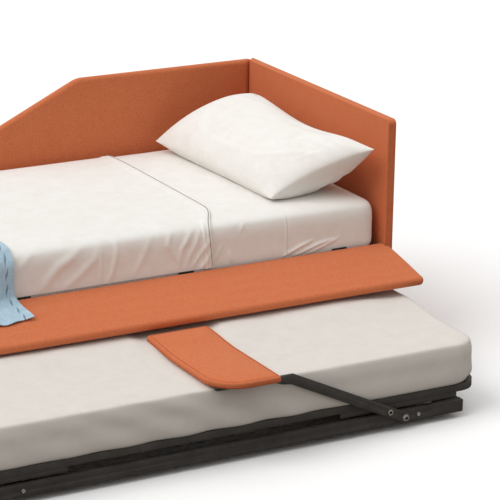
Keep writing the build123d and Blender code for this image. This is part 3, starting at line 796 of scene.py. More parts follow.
@dataclass
class CornerUpholstery:
    """The headboard, the back panel and the foot panel: boards in thin foam and cloth.

    The back panel runs level from the headboard, slopes down, and runs low to the foot.
    """

    level_run: float = 0.668
    slope: float = 25.6
    bend: float = 0.02
    corner_gap: float = 0.004
    edge: float = 0.013
    top_corner: float = 0.016

    def build(self) -> None:
        """Build the three panels, mitred where they meet."""
        head_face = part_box("headboard")[0].x
        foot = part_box("foot_panel")[1]
        self.build_end("headboard", head_face, -1)
        self.build_end("foot_panel", foot.x, 1)
        self.build_back(head_face, foot.x, foot.z)

    def build_end(self, name: str, face: float, inwards: int) -> None:
        """Build the headboard or the foot panel.

        Args:
            name: its CAD node.
            face: where its inner face is.
            inwards: 1 where that face looks to the head, -1 where it looks to the foot.
        """
        low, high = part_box(name)
        mitre = (face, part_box("back_panel")[0].y - self.corner_gap, 0.0)
        piece = block(f"{name}_padded", low, high)
        bisect(piece, mitre, (inwards, 1, 0), use_fill=True, clear_outer=True)
        round_edges(
            piece,
            lambda e: abs(along(e).x) > 0.7
            and middle(e).z > high.z - 0.001
            and middle(e).y < low.y + 0.01,
            self.top_corner, 6,
        )
        self.pad(piece, name, lambda e: middle(e).z > low.z + 0.002)

    def build_back(self, head_face: float, foot_face: float, foot_top: float) -> None:
        """Build the back panel.

        Args:
            head_face: where the headboard's face is.
            foot_face: where the foot panel's face is.
            foot_top: the height of the low run.
        """
        low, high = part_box("back_panel")
        bend_x = head_face - self.level_run
        run = (high.z - foot_top) / math.tan(math.radians(self.slope))
        piece = block("back_panel_padded", low, high)
        for x in (bend_x, bend_x - run):
            bisect(piece, (x, 0, 0), (1, 0, 0))
        co = points(piece)
        co[(co[:, 2] > high.z - 0.001) & (co[:, 0] < bend_x - 0.001), 2] = foot_top
        move_points(piece, co)
        for face, outwards in ((head_face, 1), (foot_face, -1)):
            bisect(piece, (face, low.y, 0.0), (outwards, -1, 0), use_fill=True, clear_outer=True)
        round_edges(
            piece,
            lambda e: abs(along(e).y) > 0.9
            and middle(e).z > foot_top - 0.001
            and low.x + 0.05 < middle(e).x < high.x - 0.05,
            self.bend, 6,
        )
        self.pad(
            piece, "back_panel",
            lambda e: middle(e).z >= low.z + 0.002 and turns_corner(e, 40),
        )

    def pad(self, piece: bpy.types.Object, name: str, rim: Callable[[Edge], bool]) -> None:
        """Round a board's rim as its foam does, and dress it.

        Args:
            piece: the board.
            name: the CAD node that it stands for.
            rim: a test for the edges of its outline.
        """
        round_edges(piece, rim, self.edge, 5, clamp=True)
        modify(piece, "WEIGHTED_NORMAL", keep_sharp=True, weight=80)
        settle(piece, UPHOLSTERY, "bed", name)


# --- mattresses and linen -------------------------------------------------------------


@dataclass(frozen=True)
class Fold:
    """A crease in cloth on the mattress's front side.

    Each point is a distance from the headboard's face and a height over the mattress's
    underside, in metres. Depth is how far the ridge stands out, and half is its half width.
    """

    line: tuple[tuple[float, float], ...]
    half: float
    depth: float

    def rise(self, distance: np.ndarray, height: np.ndarray) -> np.ndarray:
        """How far cloth stands out, fading at the fold's two ends.

        Args:
            distance: each place's distance from the headboard's face.
            height: each place's height over the mattress's underside.

        Returns:
            How far each place stands out.
        """
        best = np.full(distance.shape, 1e9)
        share = np.zeros(distance.shape)
        lengths = [math.dist(a, b) for a, b in zip(self.line, self.line[1:])]
        total, before = sum(lengths), 0.0
        for (a, b), length in zip(zip(self.line, self.line[1:]), lengths):
            u = ((distance - a[0]) * (b[0] - a[0]) + (height - a[1]) * (b[1] - a[1])) / length**2
            u = np.clip(u, 0, 1)
            gap = np.hypot(distance - a[0] - u * (b[0] - a[0]), height - a[1] - u * (b[1] - a[1]))
            nearer = gap < best
            best = np.where(nearer, gap, best)
            share = np.where(nearer, (before + u * length) / total, share)
            before += length
        fade = np.sin(np.pi * np.clip(share * 0.9 + 0.05, 0, 1)) ** 0.7
        return self.depth * fade * ridge(best, 0, self.half)


FOLDS = (
    Fold(((1.075, 0.165), (1.12, 0.12), (1.171, 0.092), (1.225, 0.030)), 0.016, 0.006),
    Fold(((1.02, 0.150), (1.045, 0.100), (1.10, 0.055), (1.15, 0.022)), 0.014, 0.004),
    Fold(((1.245, 0.165), (1.275, 0.130), (1.304, 0.100)), 0.014, 0.004),
    Fold(((0.968, 0.160), (0.972, 0.100), (0.985, 0.050), (1.001, 0.018)), 0.010, 0.004),
    Fold(((1.021, 0.130), (1.024, 0.080), (1.024, 0.028)), 0.008, 0.003),
    Fold(((0.848, 0.145), (0.875, 0.090), (0.910, 0.028)), 0.012, 0.003),
    Fold(((0.775, 0.172), (0.790, 0.110), (0.762, 0.055)), 0.009, 0.004),
    Fold(((0.700, 0.150), (0.742, 0.090), (0.750, 0.040)), 0.009, 0.005),
    Fold(((0.672, 0.150), (0.690, 0.105), (0.715, 0.060), (0.722, 0.035)), 0.008, 0.004),
    Fold(((0.640, 0.110), (0.672, 0.070), (0.700, 0.030)), 0.007, 0.004),
    Fold(((0.640, 0.070), (0.655, 0.040), (0.675, 0.015)), 0.006, 0.004),
)
HEAD_FOLDS = (
    Fold(((0.370, 0.014), (0.340, 0.026), (0.305, 0.040), (0.262, 0.052)), 0.0055, 0.005),
    Fold(((0.330, 0.010), (0.290, 0.022), (0.245, 0.036), (0.186, 0.047)), 0.0055, 0.005),
    Fold(((0.278, 0.010), (0.235, 0.024), (0.190, 0.038), (0.165, 0.048)), 0.0050, 0.004),
    Fold(((0.535, 0.168), (0.546, 0.139)), 0.006, 0.0025),
    Fold(((0.500, 0.170), (0.529, 0.116)), 0.007, 0.003),
    Fold(((0.598, 0.080), (0.622, 0.030)), 0.006, 0.003),
    Fold(((0.570, 0.060), (0.560, 0.020)), 0.007, 0.003),
)


@dataclass
class FixedMattress:
    """The fixed mattress in its fitted sheet, and the top sheet folded back over it."""

    fold_from_head: float = 0.574
    seam_from_head: float = 0.357
    side_swing: float = 0.060
    skirt: float = 0.007
    cord_radius: float = 0.0014
    folds_end: float = 1.5

    def __post_init__(self) -> None:
        """Take the mattress's place from its CAD box."""
        self.low, self.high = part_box("upper_mattress")
        self.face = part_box("headboard")[0].x
        self.edge_x = self.face - self.fold_from_head

    def build(self) -> None:
        """Build the mattress, then the sheet over it."""
        body = self.build_body()
        self.build_top_sheet(body)
        self.finish_body(body)

    def build_body(self) -> bpy.types.Object:
        """Swell a rounded block into the mattress.

        Returns:
            The bare mattress.
        """
        low, high = self.low, self.high - Vector((0.0, 0.0, 0.005))
        piece = block("upper_mattress_dressed", low, high)
        round_edges(piece, lambda e: abs(along(e).z) > 0.9, 0.045, 6)
        round_edges(piece, lambda e: middle(e).z > high.z - 0.001, 0.034, 5)
        round_edges(piece, lambda e: middle(e).z < low.z + 0.001, 0.006, 2)
        puff(piece, lambda co: step(co[:, 2], low.z - 0.012, low.z + 0.04))
        co = points(piece)
        rim = (1 - step(co[:, 1] - low.y, 0.006, 0.02)) * (1 - step(co[:, 2] - low.z, 0.004, 0.05))
        co[:, 2] -= self.skirt * rim
        co[:, 1] -= 0.0025 * rim
        move_points(piece, co)
        return piece

    def places(self, co: np.ndarray) -> tuple[np.ndarray, np.ndarray, np.ndarray]:
        """Where points are on the mattress.

        Args:
            co: the points.

        Returns:
            Each point's distance from the headboard, its height over the underside, and how
            much it is on the front side rather than the top or the back.
        """
        side = 1 - step(co[:, 1] - self.low.y, 0.004, 0.03)
        return self.face - co[:, 0], co[:, 2] - self.low.z, side

    def crease(self, piece: bpy.types.Object, folds: Sequence[Fold]) -> None:
        """Raise folds on the front side of a piece."""
        co = points(piece)
        distance, height, side = self.places(co)
        out = sum(fold.rise(distance, height) for fold in folds)
        co[:, 1] -= out * side * step(height, 0.0, 0.012)
        move_points(piece, co)

    def refine_front(self, piece: bpy.types.Object, reach: float) -> None:
        """Divide the front side's faces twice, so that folds can be raised there.

        Args:
            piece: the mattress or the sheet.
            reach: how far from the headboard the finer faces go.
        """
        for _ in range(2):
            pick(
                piece,
                lambda f: f.calc_center_median().x > self.face - reach
                and f.calc_center_median().y < self.low.y + 0.035,
            )
            bpy.ops.mesh.subdivide(number_cuts=1, smoothness=0.0)
            done()

    def finish_body(self, piece: bpy.types.Object) -> None:
        """Give the fitted sheet its finer folds and its seam near the head, and dress it."""
        self.refine_front(piece, self.fold_from_head + 0.1)
        self.crease(piece, HEAD_FOLDS)
        co = points(piece)
        distance, height, side = self.places(co)
        valley = ridge(distance, self.seam_from_head - 0.003, 0.003) * 0.003
        seam = ridge(distance, self.seam_from_head + 0.004, 0.003) * 0.002
        run = step(height, 0.0, 0.02) * (1 - step(height, 0.16, 0.19))
        co[:, 1] += (valley - seam) * side * run
        move_points(piece, co)
        settle(piece, PERCALE, "bed", "upper_mattress", angle=80)

    def swing(self, where: np.ndarray) -> np.ndarray:
        """How far the top sheet's hem swings towards the foot as it goes over the front edge."""
        share = 1 - step(where[:, 1] - self.low.y, -0.03, 0.16)
        return share * (self.side_swing + 0.012 * step(where[:, 2] - self.low.z, 0.02, 0.15))

    def build_top_sheet(self, body: bpy.types.Object) -> None:
        """Lift the top sheet off the mattress's own surface, and hem its folded edge.

        Args:
            body: the swollen mattress.
        """
        sheet = linked("top_sheet", body.data.copy())
        pick(
            sheet,
            lambda f: f.calc_center_median().z < self.low.z + 0.012
            or f.calc_center_median().y > self.high.y - 0.004
            or f.normal.z < -0.3,
        )
        bpy.ops.mesh.delete(type="FACE")
        done()
        bisect(sheet, (self.edge_x, 0, 0), (1, 0, 0), clear_outer=True)
        self.refine_front(sheet, self.folds_end)
        co = points(sheet)
        outward = points(sheet, "normal")
        side = self.places(co)[2]
        swing = self.swing(co)
        co[:, 0] -= swing * (1 - step(self.edge_x - co[:, 0], 0.0, 0.5))
        band = 1 - step(self.edge_x - swing - co[:, 0], 0.026, 0.032)
        co += outward * (0.0016 + 0.0032 * band)[:, None]
        from_hem = self.edge_x - swing - co[:, 0]
        for offset, depth in ((0.010, 0.003), (0.024, 0.0035), (0.036, 0.002)):
            co[:, 1] -= ridge(from_hem, offset, 0.0042) * depth * side
        move_points(sheet, co)
        self.crease(sheet, FOLDS)
        modify(sheet, "SOLIDIFY", thickness=0.0022, offset=1.0)
        settle(sheet, PERCALE, "bed", angle=60)
        self.lay_hem_stitch_and_shade_cord(sheet)

    def lay_hem_stitch_and_shade_cord(self, sheet: bpy.types.Object) -> None:
        """Lay the cord that is sewn along the top sheet's hem: its taupe is partly the stitching
        and partly painted shade for the groove there.

        Args:
            sheet: the finished top sheet, which the cord lies on.
        """
        low, high = self.low, self.high
        tree = BVHTree.FromObject(sheet, bpy.context.evaluated_depsgraph_get())
        rays = [
            ((y, high.z + 0.1), (0.0, -1.0)) for y in np.arange(high.y - 0.03, low.y + 0.04, -0.012)
        ]
        for turn in (20, 40, 60, 80):
            dy, dz = math.sin(math.radians(turn)), -math.cos(math.radians(turn))
            rays.append(((low.y + 0.04 - 0.2 * dy, high.z - 0.04 - 0.2 * dz), (dy, dz)))
        rays += [
            ((low.y - 0.1, z), (1.0, 0.0)) for z in np.arange(high.z - 0.045, low.z + 0.014, -0.008)
        ]
        found: list[Vector] = []
        for (y, z), (dy, dz) in rays:
            guess = Vector((0.0, max(y, low.y), min(z, high.z)))
            for _ in range(3):
                x = self.edge_x - float(self.swing(np.array([guess]))[0]) - 0.005
                hit, normal, _, _ = tree.ray_cast(Vector((x, y, z)), Vector((0, dy, dz)))
                guess = hit or guess
            if hit:
                found.append(hit + normal * 0.0002)
        # The cord's taupe is partly stitching, partly painted shade for the groove at the hem.
        sewn_cord("top_sheet_hem_stitch_and_shade_cord", found, self.cord_radius, False, HEM_STITCH_AND_SHADE_CORD, "bed")


@dataclass
class TrundleMattress:
    """The rolled-out mattress in its fitted sheet."""

    rise_under_flap: float = 0.034
    skirt: float = 0.013

    def build(self) -> None:
        """Swell the mattress, ruck its sheet a little, and dress it."""
        low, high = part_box("trundle_mattress")
        piece = block("trundle_mattress_dressed", low, high - Vector((0, 0, 0.004)))
        round_edges(piece, lambda e: abs(along(e).z) > 0.9, 0.085, 8)
        round_edges(piece, lambda e: middle(e).z > high.z - 0.006, 0.024, 5)
        round_edges(piece, lambda e: middle(e).z < low.z + 0.001, 0.018, 4)
        puff(
            piece,
            lambda co: step(co[:, 2], low.z + 0.002, low.z + 0.06)
            * (1 - 0.8 * step(co[:, 2], high.z - 0.02, high.z)),
        )
        co = points(piece)
        x, y, z = co.T.copy()
        top = step(points(piece, "normal")[:, 2], 0.6, 0.95)
        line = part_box("front_flap")[0].y - 0.006
        rest_low, rest_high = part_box("headrest_panel")
        clear = 1 - step(x, rest_low.x - 0.06, rest_low.x) * (
            1 - step(x, rest_high.x, rest_high.x + 0.06)
        )
        gather = 0.0016 * ridge(y, line, 0.016) * (
            np.sin(x * 9.0) + 0.6 * np.sin(x * 23.0 + 1.0) + 0.4 * np.sin(x * 41.0)
        )
        sag = 0.0025 * np.sin(x * 3.1 + 0.7) * np.sin(y * 4.2)
        swell = self.rise_under_flap * step(y, line - 0.19, line + 0.01) * (0.6 + 0.4 * clear)
        swell *= 1 - 0.45 * step(x, high.x - 0.30, high.x - 0.05)
        co[:, 2] += (gather * (0.3 + 0.7 * clear) + sag * clear - 0.001 + swell) * top
        drag = 0.0018 * np.sin((x + z * 2.4) * 34.0) * step(x, -0.9, 0.1)
        co[:, 1] -= drag * (1 - step(x, 0.25, 0.6)) * (1 - step(y - low.y, 0.004, 0.035))
        rim = np.min([x - low.x, high.x - x, co[:, 1] - low.y, high.y - co[:, 1]], axis=0)
        hang = (1 - step(rim, 0.006, 0.022)) * (1 - step(co[:, 2], low.z, low.z + 0.055))
        co[:, 2] -= self.skirt * hang
        move_points(piece, co)
        # The greyer percale is partly the sheet's own tone, partly painted shade for the low
        # trundle.
        settle(piece, STONE_AND_SHADE_PERCALE, "trundle", "trundle_mattress", angle=80)


@dataclass
class Pillow:
    """A pillow in its pillowcase, leaning on the headboard.

    Each corner is a distance from the headboard's face, from the back panel's face and over
    the mattress, in metres.
    """

    low_back: Point = (0.404, 0.067, 0.036)
    low_front: Point = (0.360, 0.797, 0.019)
    high_back: Point = (0.062, 0.170, 0.189)
    high_front: Point = (0.052, 0.930, 0.179)
    count: tuple[int, int] = (72, 56)
    loft: float = 0.080
    underfill: float = 0.125

    def build(self) -> None:
        """Sew two sheets of cloth along their rims, and fill them."""
        self.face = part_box("headboard")[0].x
        self.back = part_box("back_panel")[0].y
        self.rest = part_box("upper_mattress")[1].z
        columns, rows = self.count
        piece = primitive(
            bpy.ops.mesh.primitive_grid_add, "pillow_in_case",
            x_subdivisions=columns, y_subdivisions=rows, size=2.0,
        )
        pick(piece)
        bpy.ops.mesh.duplicate()
        bpy.ops.mesh.flip_normals()
        done()
        co = points(piece)
        half = len(co) // 2
        u, v = np.sin(co[:, 0] * np.pi / 2), np.sin(co[:, 1] * np.pi / 2)
        upper = self.face_points(u[:half], v[:half], 1.0)
        lower = self.face_points(u[half:], v[half:], -1.0)
        move_points(piece, np.vstack([upper, lower]))
        face_outwards(piece, merge=0.0001)
        settle(piece, PERCALE, "bed", "pillow", angle=75)

    def face_points(self, u: np.ndarray, v: np.ndarray, side: float) -> np.ndarray:
        """Shape one face of the pillow.

        Args:
            u: from -1 at the end by the back panel to 1 at the open side's end.
            v: from -1 at the edge on the mattress to 1 at the edge by the headboard.
            side: 1 for the upper face, -1 for the lower one.

        Returns:
            The face's points.
        """
        corners = [
            np.array((self.face - place[0], self.back - place[1], self.rest + place[2]))
            for place in (self.low_back, self.low_front, self.high_back, self.high_front)
        ]
        across, lengthways = 1 - v**2, 1 - u**2
        s = (u * (1 - 0.03 * across) + 1) / 2
        t = (v * (1 - 0.048 * lengthways) + 1) / 2
        weights = ((1 - s) * (1 - t), s * (1 - t), (1 - s) * t, s * t)
        where = sum(w[:, None] * c for w, c in zip(weights, corners))
        normal = np.cross(corners[1] - corners[0], corners[2] - corners[0])
        normal *= np.sign(normal[2]) / np.linalg.norm(normal)
        back, front = np.where(u < 0, u**2, 0), np.where(u > 0, u**2, 0)
        lift = 0.026 * u**2 * across + 0.014 * back * across - 0.012 * front * across
        dip = 0.013 * lengthways * (1 + v) * (1 - (u - 0.1) ** 2)
        where[:, 2] += lift - dip
        if side > 0:
            depth = self.loft * (1 - np.abs(u) ** 3.2) ** 0.62 * (1 - np.abs(v) ** 2.6) ** 0.6
            corner = ridge(u, 0.78, 0.22) * ridge(v, 0.72, 0.25)
            depth += 0.012 * corner * lengthways**0.3
        else:
            depth = self.underfill * (1 - np.abs(u) ** 4.5) ** 0.55 * (1 - np.abs(v) ** 3.0) ** 0.6
        where += side * (depth + self.creases(u, v))[:, None] * normal
        where[:, 2] = np.maximum(where[:, 2], self.rest + 0.0045)
        where[:, 0] = np.minimum(where[:, 0], self.face - 0.004)
        return where

    def creases(self, u: np.ndarray, v: np.ndarray) -> np.ndarray:
        """Soft creases that run in from the corners and along the filling.

        Args:
            u: places from end to end.
            v: places from the low edge to the high one.

        Returns:
            How far each place is raised.
        """
        rise = np.zeros(u.shape)
        inside = np.clip(np.minimum(1 - np.abs(u), 1 - np.abs(v)) * 6, 0, 1)
        for cu, cv, turns, reach, depth in (
            (1, -1, 9.0, 0.34, 0.0035), (1, 1, 8.0, 0.36, 0.0045), (-1, -1, 7.0, 0.30, 0.0030),
            (-1, 1, 8.0, 0.32, 0.0040),
        ):
            angle = np.arctan2(np.abs(v - cv), np.abs(u - cu))
            far = np.hypot(u - cu, v - cv)
            rise += depth * np.sin(angle * turns + cu * 1.7 + cv) * ridge(far, 0, reach) * inside
        for mu, mv, turn, length, wide, depth in (
            (0.62, -0.35, 0.9, 0.34, 0.050, 0.0045), (0.70, -0.10, 0.7, 0.28, 0.045, 0.0040),
            (0.74, 0.35, 0.25, 0.30, 0.050, 0.0050), (0.55, 0.55, 0.15, 0.36, 0.055, 0.0040),
            (-0.55, -0.50, -0.9, 0.26, 0.055, 0.0040), (-0.60, 0.62, 0.6, 0.25, 0.050, 0.0040),
            (0.25, 0.78, 0.05, 0.40, 0.040, 0.0040), (0.00, -0.62, 0.10, 0.45, 0.055, 0.0030),
            (0.86, -0.05, 1.45, 0.40, 0.020, 0.0030),
        ):
            run = (u - mu) * math.cos(turn) + (v - mv) * math.sin(turn)
            off = -(u - mu) * math.sin(turn) + (v - mv) * math.cos(turn)
            bow = off - 0.25 * run**2
            profile = ridge(bow, 0, wide) - 0.7 * ridge(bow, 1.7 * wide, wide)
            rise += depth * ridge(run, 0, length) * profile * inside
        return rise


# --- the throw ------------------------------------------------------------------------


@dataclass
class Throw:
    """A gauze throw laid over the mattress, down its side and onto the flap."""

    thickness: float = 0.0022
    faces: tuple[int, int] = (110, 150)

    def build(self) -> None:
        """Lay the cloth along its path, and ruffle it."""
        low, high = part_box("throw")
        mattress_low, mattress_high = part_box("upper_mattress")
        edge, front = mattress_low.y, mattress_low.y - 0.0115
        top = mattress_high.z + 0.0075
        flap_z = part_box("front_flap")[1].z + 0.005
        slope = math.tan(math.radians(FLAP_TILT))
        path = np.array([
            (high.y + 0.006, top),
            (edge + 0.05, top + 0.001),
            (edge + 0.022, top - 0.003),
            (edge + 0.004, top - 0.016),
            (front, top - 0.045),
            (front - 0.001, flap_z + 0.030),
            (front - 0.005, flap_z + 0.012),
            (front - 0.016, flap_z + 0.002 - 0.012 * slope),
            (front - 0.128, flap_z + 0.002 - 0.128 * slope),
        ])
        knots = np.concatenate([[0], np.cumsum([math.dist(a, b) for a, b in zip(path, path[1:])])])
        total = float(knots[-1])
        columns, rows = self.faces
        piece = primitive(
            bpy.ops.mesh.primitive_grid_add, "throw_cloth",
            x_subdivisions=columns, y_subdivisions=rows, size=1.0,
        )
        co = points(piece)
        across, down = co[:, 0] + 0.5, (co[:, 1] + 0.5) * total
        y, z = (self.relax(np.interp(down, knots, path[:, axis]), down) for axis in (0, 1))
        x = low.x + across * (high.x - low.x)
        side = step(-y, -(edge + 0.01), -(edge - 0.005)) * step(z, flap_z, flap_z + 0.03)
        on_flap = 1 - step(z, flap_z - 0.002, flap_z + 0.02)
        x = x - 0.012 + (across - 0.5) * (0.012 * on_flap + 0.006 * np.sin(down * 17))
        pleat = np.sin(x * 47 + 1.2 * np.sin(down * 9)) + 0.5 * np.sin(x * 101 + 2.0)
        y = y - side * (0.0040 + 0.0036 * pleat)
        wave = np.sin(x * 38 + 0.4) + 0.6 * np.sin(x * 83 + 1.0)
        lip = on_flap * (1 - step(total - down, 0.0, 0.09))
        z = z + on_flap * 0.0025 + lip * (0.0045 + 0.0042 * wave)
        y = y - lip * 0.006 * np.sin(x * 45 + 0.9)
        rumple = 0.0018 * (np.sin(x * 21 + down * 6) + np.sin(x * 9 - down * 13))
        press = 0.0035 * ridge(x, low.x + 0.19 + 0.10 * down, 0.014)
        z = z + step(z, top - 0.01, top) * (0.0030 + rumple + press)
        move_points(piece, np.column_stack([x, y, z]))
        modify(piece, "SOLIDIFY", thickness=self.thickness, offset=1.0)
        face_outwards(piece)
        settle(piece, GAUZE, None, "throw", angle=60)
        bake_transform(piece)

    def relax(self, value: np.ndarray, down: np.ndarray, times: int = 3) -> np.ndarray:
        """Soften a profile: each row becomes the mean of itself and its neighbours.

        Args:
            value: one value for each point.
            down: each point's distance along the path, which says its row.
            times: how often it is softened.

        Returns:
            The softened values.
        """
        rows, index = np.unique(np.round(down, 6), return_inverse=True)
        line = np.zeros(len(rows))
        line[index] = value
        for _ in range(times):
            line[1:-1] = (line[:-2] + 2 * line[1:-1] + line[2:]) / 4
        return line[index]


# --- the front flap and the headrest --------------------------------------------------


@dataclass
class FrontFlap:
    """The wide padded flap that hangs on four hinges along the fixed bed's front."""

    width: float = 0.252
    rear_gap: float = 0.0065
    above_pin: float = 0.004
    thickness: float = 0.030
    corner: float = 0.014
    nose: float = 0.013
    rear_nose: float = 0.004
    overhang: float = 0.019
    notch_depth: float = 0.030
    crown: float = 0.0035

    def build(self) -> None:
        """Shape the flap level at its hinge, then tilt it down onto its stop."""
        low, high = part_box("front_flap")
        reach = high.x + self.overhang
        piece = block(
            "front_flap_padded",
            (low.x - self.overhang, -self.width, self.above_pin - self.thickness),
            (reach, -self.rear_gap, self.above_pin),
        )
        round_edges(
            piece,
            lambda e: abs(along(e).z) > 0.9 and middle(e).y < -self.width / 2,
            self.corner, 6,
        )
        round_edges(
            piece,
            lambda e: abs(along(e).z) < 0.1 and middle(e).y < -self.rear_gap - 0.001,
            self.nose, 6, clamp=True,
        )
        round_edges(
            piece,
            lambda e: middle(e).y > -self.rear_gap - 0.0005
            and abs(along(e).x) > 0.9
            and turns_corner(e, 60),
            self.rear_nose, 3, clamp=True,
        )
        for sign in (-1, 1):
            end = sign * (high.x + 0.0005)
            notch = block(
                "notch",
                (min(end, sign * 1.2), -self.notch_depth, -0.1),
                (max(end, sign * 1.2), 0.01, 0.1),
            )
            modify(piece, "BOOLEAN", operation="DIFFERENCE", object=notch, solver="EXACT")
            bpy.data.objects.remove(notch)
        for y in (-0.216, -0.150, -0.085):
            bisect(piece, (0, y, 0), (0, 1, 0))
        for x in np.linspace(0.05 - reach, reach - 0.05, 40):
            bisect(piece, (x, 0, 0), (1, 0, 0))
        co = points(piece)
        upper = step(co[:, 2], self.above_pin - 0.004, self.above_pin)
        crown = np.sin(np.pi * np.clip(-co[:, 1] / self.width, 0, 1))
        co[:, 2] += upper * (crown * (self.crown + 0.0006 * np.sin(co[:, 0] * 7.0)) - 0.001)
        turn = Matrix.Rotation(math.radians(FLAP_TILT), 3, "X")
        move_points(piece, co @ np.array(turn.transposed()) + np.array(FLAP_HINGE))
        modify(piece, "WEIGHTED_NORMAL", keep_sharp=True, weight=50)
        settle(piece, UPHOLSTERY, "flap", "front_flap", angle=50)


@dataclass
class Headrest:
    """The small folding headrest: a boxed cushion with corded seams on a bent steel arm."""

    seam_inset: float = 0.0085
    cord_radius: float = 0.0019
    nose: float = 0.105
    corner: float = 0.012
    far_lift: float = 0.013
    turns: int = 14
    between: int = 8

    def build(self) -> None:
        """Build the cushion ring by ring, then the cord sewn along its seams."""
        self.low, self.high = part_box("headrest_panel")
        low, high, seam = self.low.z, self.high.z, self.seam_inset
        middle_z = (low + high) / 2
        loops = [
            self.outline(inset, z)
            for inset, z in (
                (0.0055, low + 0.0008), (0.0025, low + 0.0010), (0.0008, low + 0.0025),
                (0.0002, middle_z - 0.0055), (0.0012, middle_z - 0.0038),
                (0.0012, middle_z - 0.0028), (0.0, middle_z - 0.0010), (0.0004, high - 0.0040),
                (0.0018, high - 0.0016), (0.0042, high - 0.0004), (seam - 0.0018, high - 0.0003),
                (seam, high - 0.0022), (seam + 0.0018, high - 0.0004),
                (seam + 0.006, high + 0.0012), (0.024, high + 0.0030), (0.042, high + 0.0044),
                (0.064, high + 0.0052),
            )
        ]
        size, last = len(loops[0]), (len(loops) - 1) * len(loops[0])
        faces = [
            (start + i, start + (i + 1) % size, start + size + (i + 1) % size, start + size + i)
            for start in range(0, last, size)
            for i in range(size)
        ]
        faces += [tuple(reversed(range(size))), tuple(range(last, last + size))]
        mesh = bpy.data.meshes.new("headrest_cushion")
        mesh.from_pydata(np.vstack(loops).tolist(), [], faces)
        piece = linked("headrest_cushion", mesh)
        face_outwards(piece)
        modify(piece, "TRIANGULATE", ngon_method="BEAUTY", min_vertices=5)
        settle(piece, UPHOLSTERY, "headrest", "headrest_panel", angle=60)
        # The cords take the darker piping cloth: painted shade along the seams.
        for name, inset, z in (
            ("headrest_cord_side", 0.0004, middle_z - 0.0033),
            ("headrest_cord_top", seam, high - 0.0010),
        ):
            sewn_cord(name, self.outline(inset, z), self.cord_radius, True, SHADED_PIPING, "headrest")

    def outline(self, inset: float, z: float) -> np.ndarray:
        """The cushion's outline at one height, raised where it rides up on the gathered sheet.

        Args:
            inset: how far inside the cushion's plan it runs.
            z: its height before it is raised.

        Returns:
            Points in order round it, the same number for any inset.
        """
        centre, half = (self.low + self.high) / 2, (self.high - self.low) / 2
        arcs = []
        for sx, sy, radius in (
            (-1, -1, self.nose), (1, -1, self.corner), (1, 1, self.corner), (-1, 1, self.corner),
        ):
            r = max(radius - inset, 0.0006)
            angle = math.atan2(sy, sx) + math.pi * (np.linspace(0, 0.5, self.turns + 1) - 0.25)
            x = centre.x + sx * (half.x - inset - r) + r * np.cos(angle)
            y = centre.y + sy * (half.y - inset - r) + r * np.sin(angle)
            arcs.append(np.column_stack([x, y]))
        runs = []
        for arc, following in zip(arcs, arcs[1:] + arcs[:1]):
            runs += [arc, np.linspace(arc[-1], following[0], self.between + 1)[1:-1]]
        plan = np.vstack(runs)
        raised = z + self.far_lift * step(plan[:, 1], self.high.y - 0.19, self.high.y)
        return np.column_stack([plan, raised])


# --- steel, wood and wheels -----------------------------------------------------------


@dataclass
class SteelWork:
    """The deck frame, the trundle's two frames, the fasteners and the slats."""

    # A finish, the ending of a piece's name, and for each edge radius the CAD nodes that have it.
    table: tuple[tuple[Finish, str, int, dict[float, str]], ...] = (
        (STEEL, "coated", 2, {
            0.0: "mattress_retainer_head mattress_retainer_foot",
            0.0006: "wheel_brackets",
            0.0008: "platform_side_plates",
            0.0010: "platform_posts headrest_arm",
            0.0012: "deck_rail_front deck_rail_back deck_rail_head deck_rail_foot deck_centre_beam",
            0.0015: "base_cross_rails",
            0.0016: "base_rail_front base_rail_back base_end_head base_end_foot",
            0.0018: "platform_tube_front platform_tube_back platform_bow_head platform_bow_foot"
                    " platform_cross_tubes",
        }),
        (ZINC, "plated", 2, {
            0.0003: "headrest_pivot_washers",
            0.0004: "wheel_axles",
            0.0006: "deck_bolts rail_bolts corner_angles",
            0.0007: "headrest_pivot_bolt headrest_stop",
        }),
        # Near black: painted shade, so the hinges stay as dark as the shaded gap they sit in.
        (SHADE_DARK_ZINC, "passivated", 2, {
            0.0004: "flap_hinge_leaves flap_hinge_brackets flap_hinge_pins",
        }),
        (BEECH, "beech", 3, {0.002: "deck_slats trundle_slats"}),
        (PLASTIC, "moulded", 2, {
            0.0008: "slat_holders trundle_slat_holders rail_end_caps floor_glides",
        }),
    )

    def build(self) -> None:
        """Ease every piece's edges and dress it."""
        for finish, ending, segments, nodes in self.table:
            for radius, sources in nodes.items():
                for source in sources.split():
                    eased_copy(source, f"{source}_{ending}", finish, radius, segments)
        self.flatten_arm(bpy.data.objects["headrest_arm_coated"])
        # Dark hexagons in two bolt heads: painted shade for their sockets.
        for source in ("headrest_stop", "headrest_pivot_bolt"):
            self.paint_socket_shade(source)

    def flatten_arm(self, piece: bpy.types.Object) -> None:
        """Press the arm's level end into a thin tang, where it is screwed under the cushion."""
        low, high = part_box("headrest_panel")
        side, top = high.x, low.z
        for reach in (-0.002, 0.004, 0.028, 0.055):
            bisect(piece, (side + reach, 0, 0), (1, 0, 0))
        co = points(piece)
        x, z = co[:, 0], co[:, 2]
        level = (z > top - 0.045) & (z < top) & (x < side + 0.06)
        share = 1 - 0.62 * (1 - step(x, side, side + 0.055)) * level
        outside = step(x, side - 0.002, side + 0.004) * (1 - step(x, side + 0.02, side + 0.055))
        co[:, 2] = top - (top - z) * share - 0.006 * outside * level
        move_points(piece, co)

    def paint_socket_shade(self, source: str) -> None:
        """Set a dark hexagon into a bolt's head: painted shade for the recess of its hex socket.

        Args:
            source: the bolt's CAD node.
        """
        low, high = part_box(source)
        piece = primitive(
            bpy.ops.mesh.primitive_cylinder_add, f"{source}_socket",
            vertices=6, radius=(high.x - low.x) * 0.24, depth=0.0012,
            location=((low.x + high.x) / 2, low.y + 0.0002, (low.z + high.z) / 2),
            rotation=(math.radians(90), 0, 0),
        )
        settle(piece, SHADE_DARK_ZINC, frame["nodes"][source]["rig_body"], angle=30)


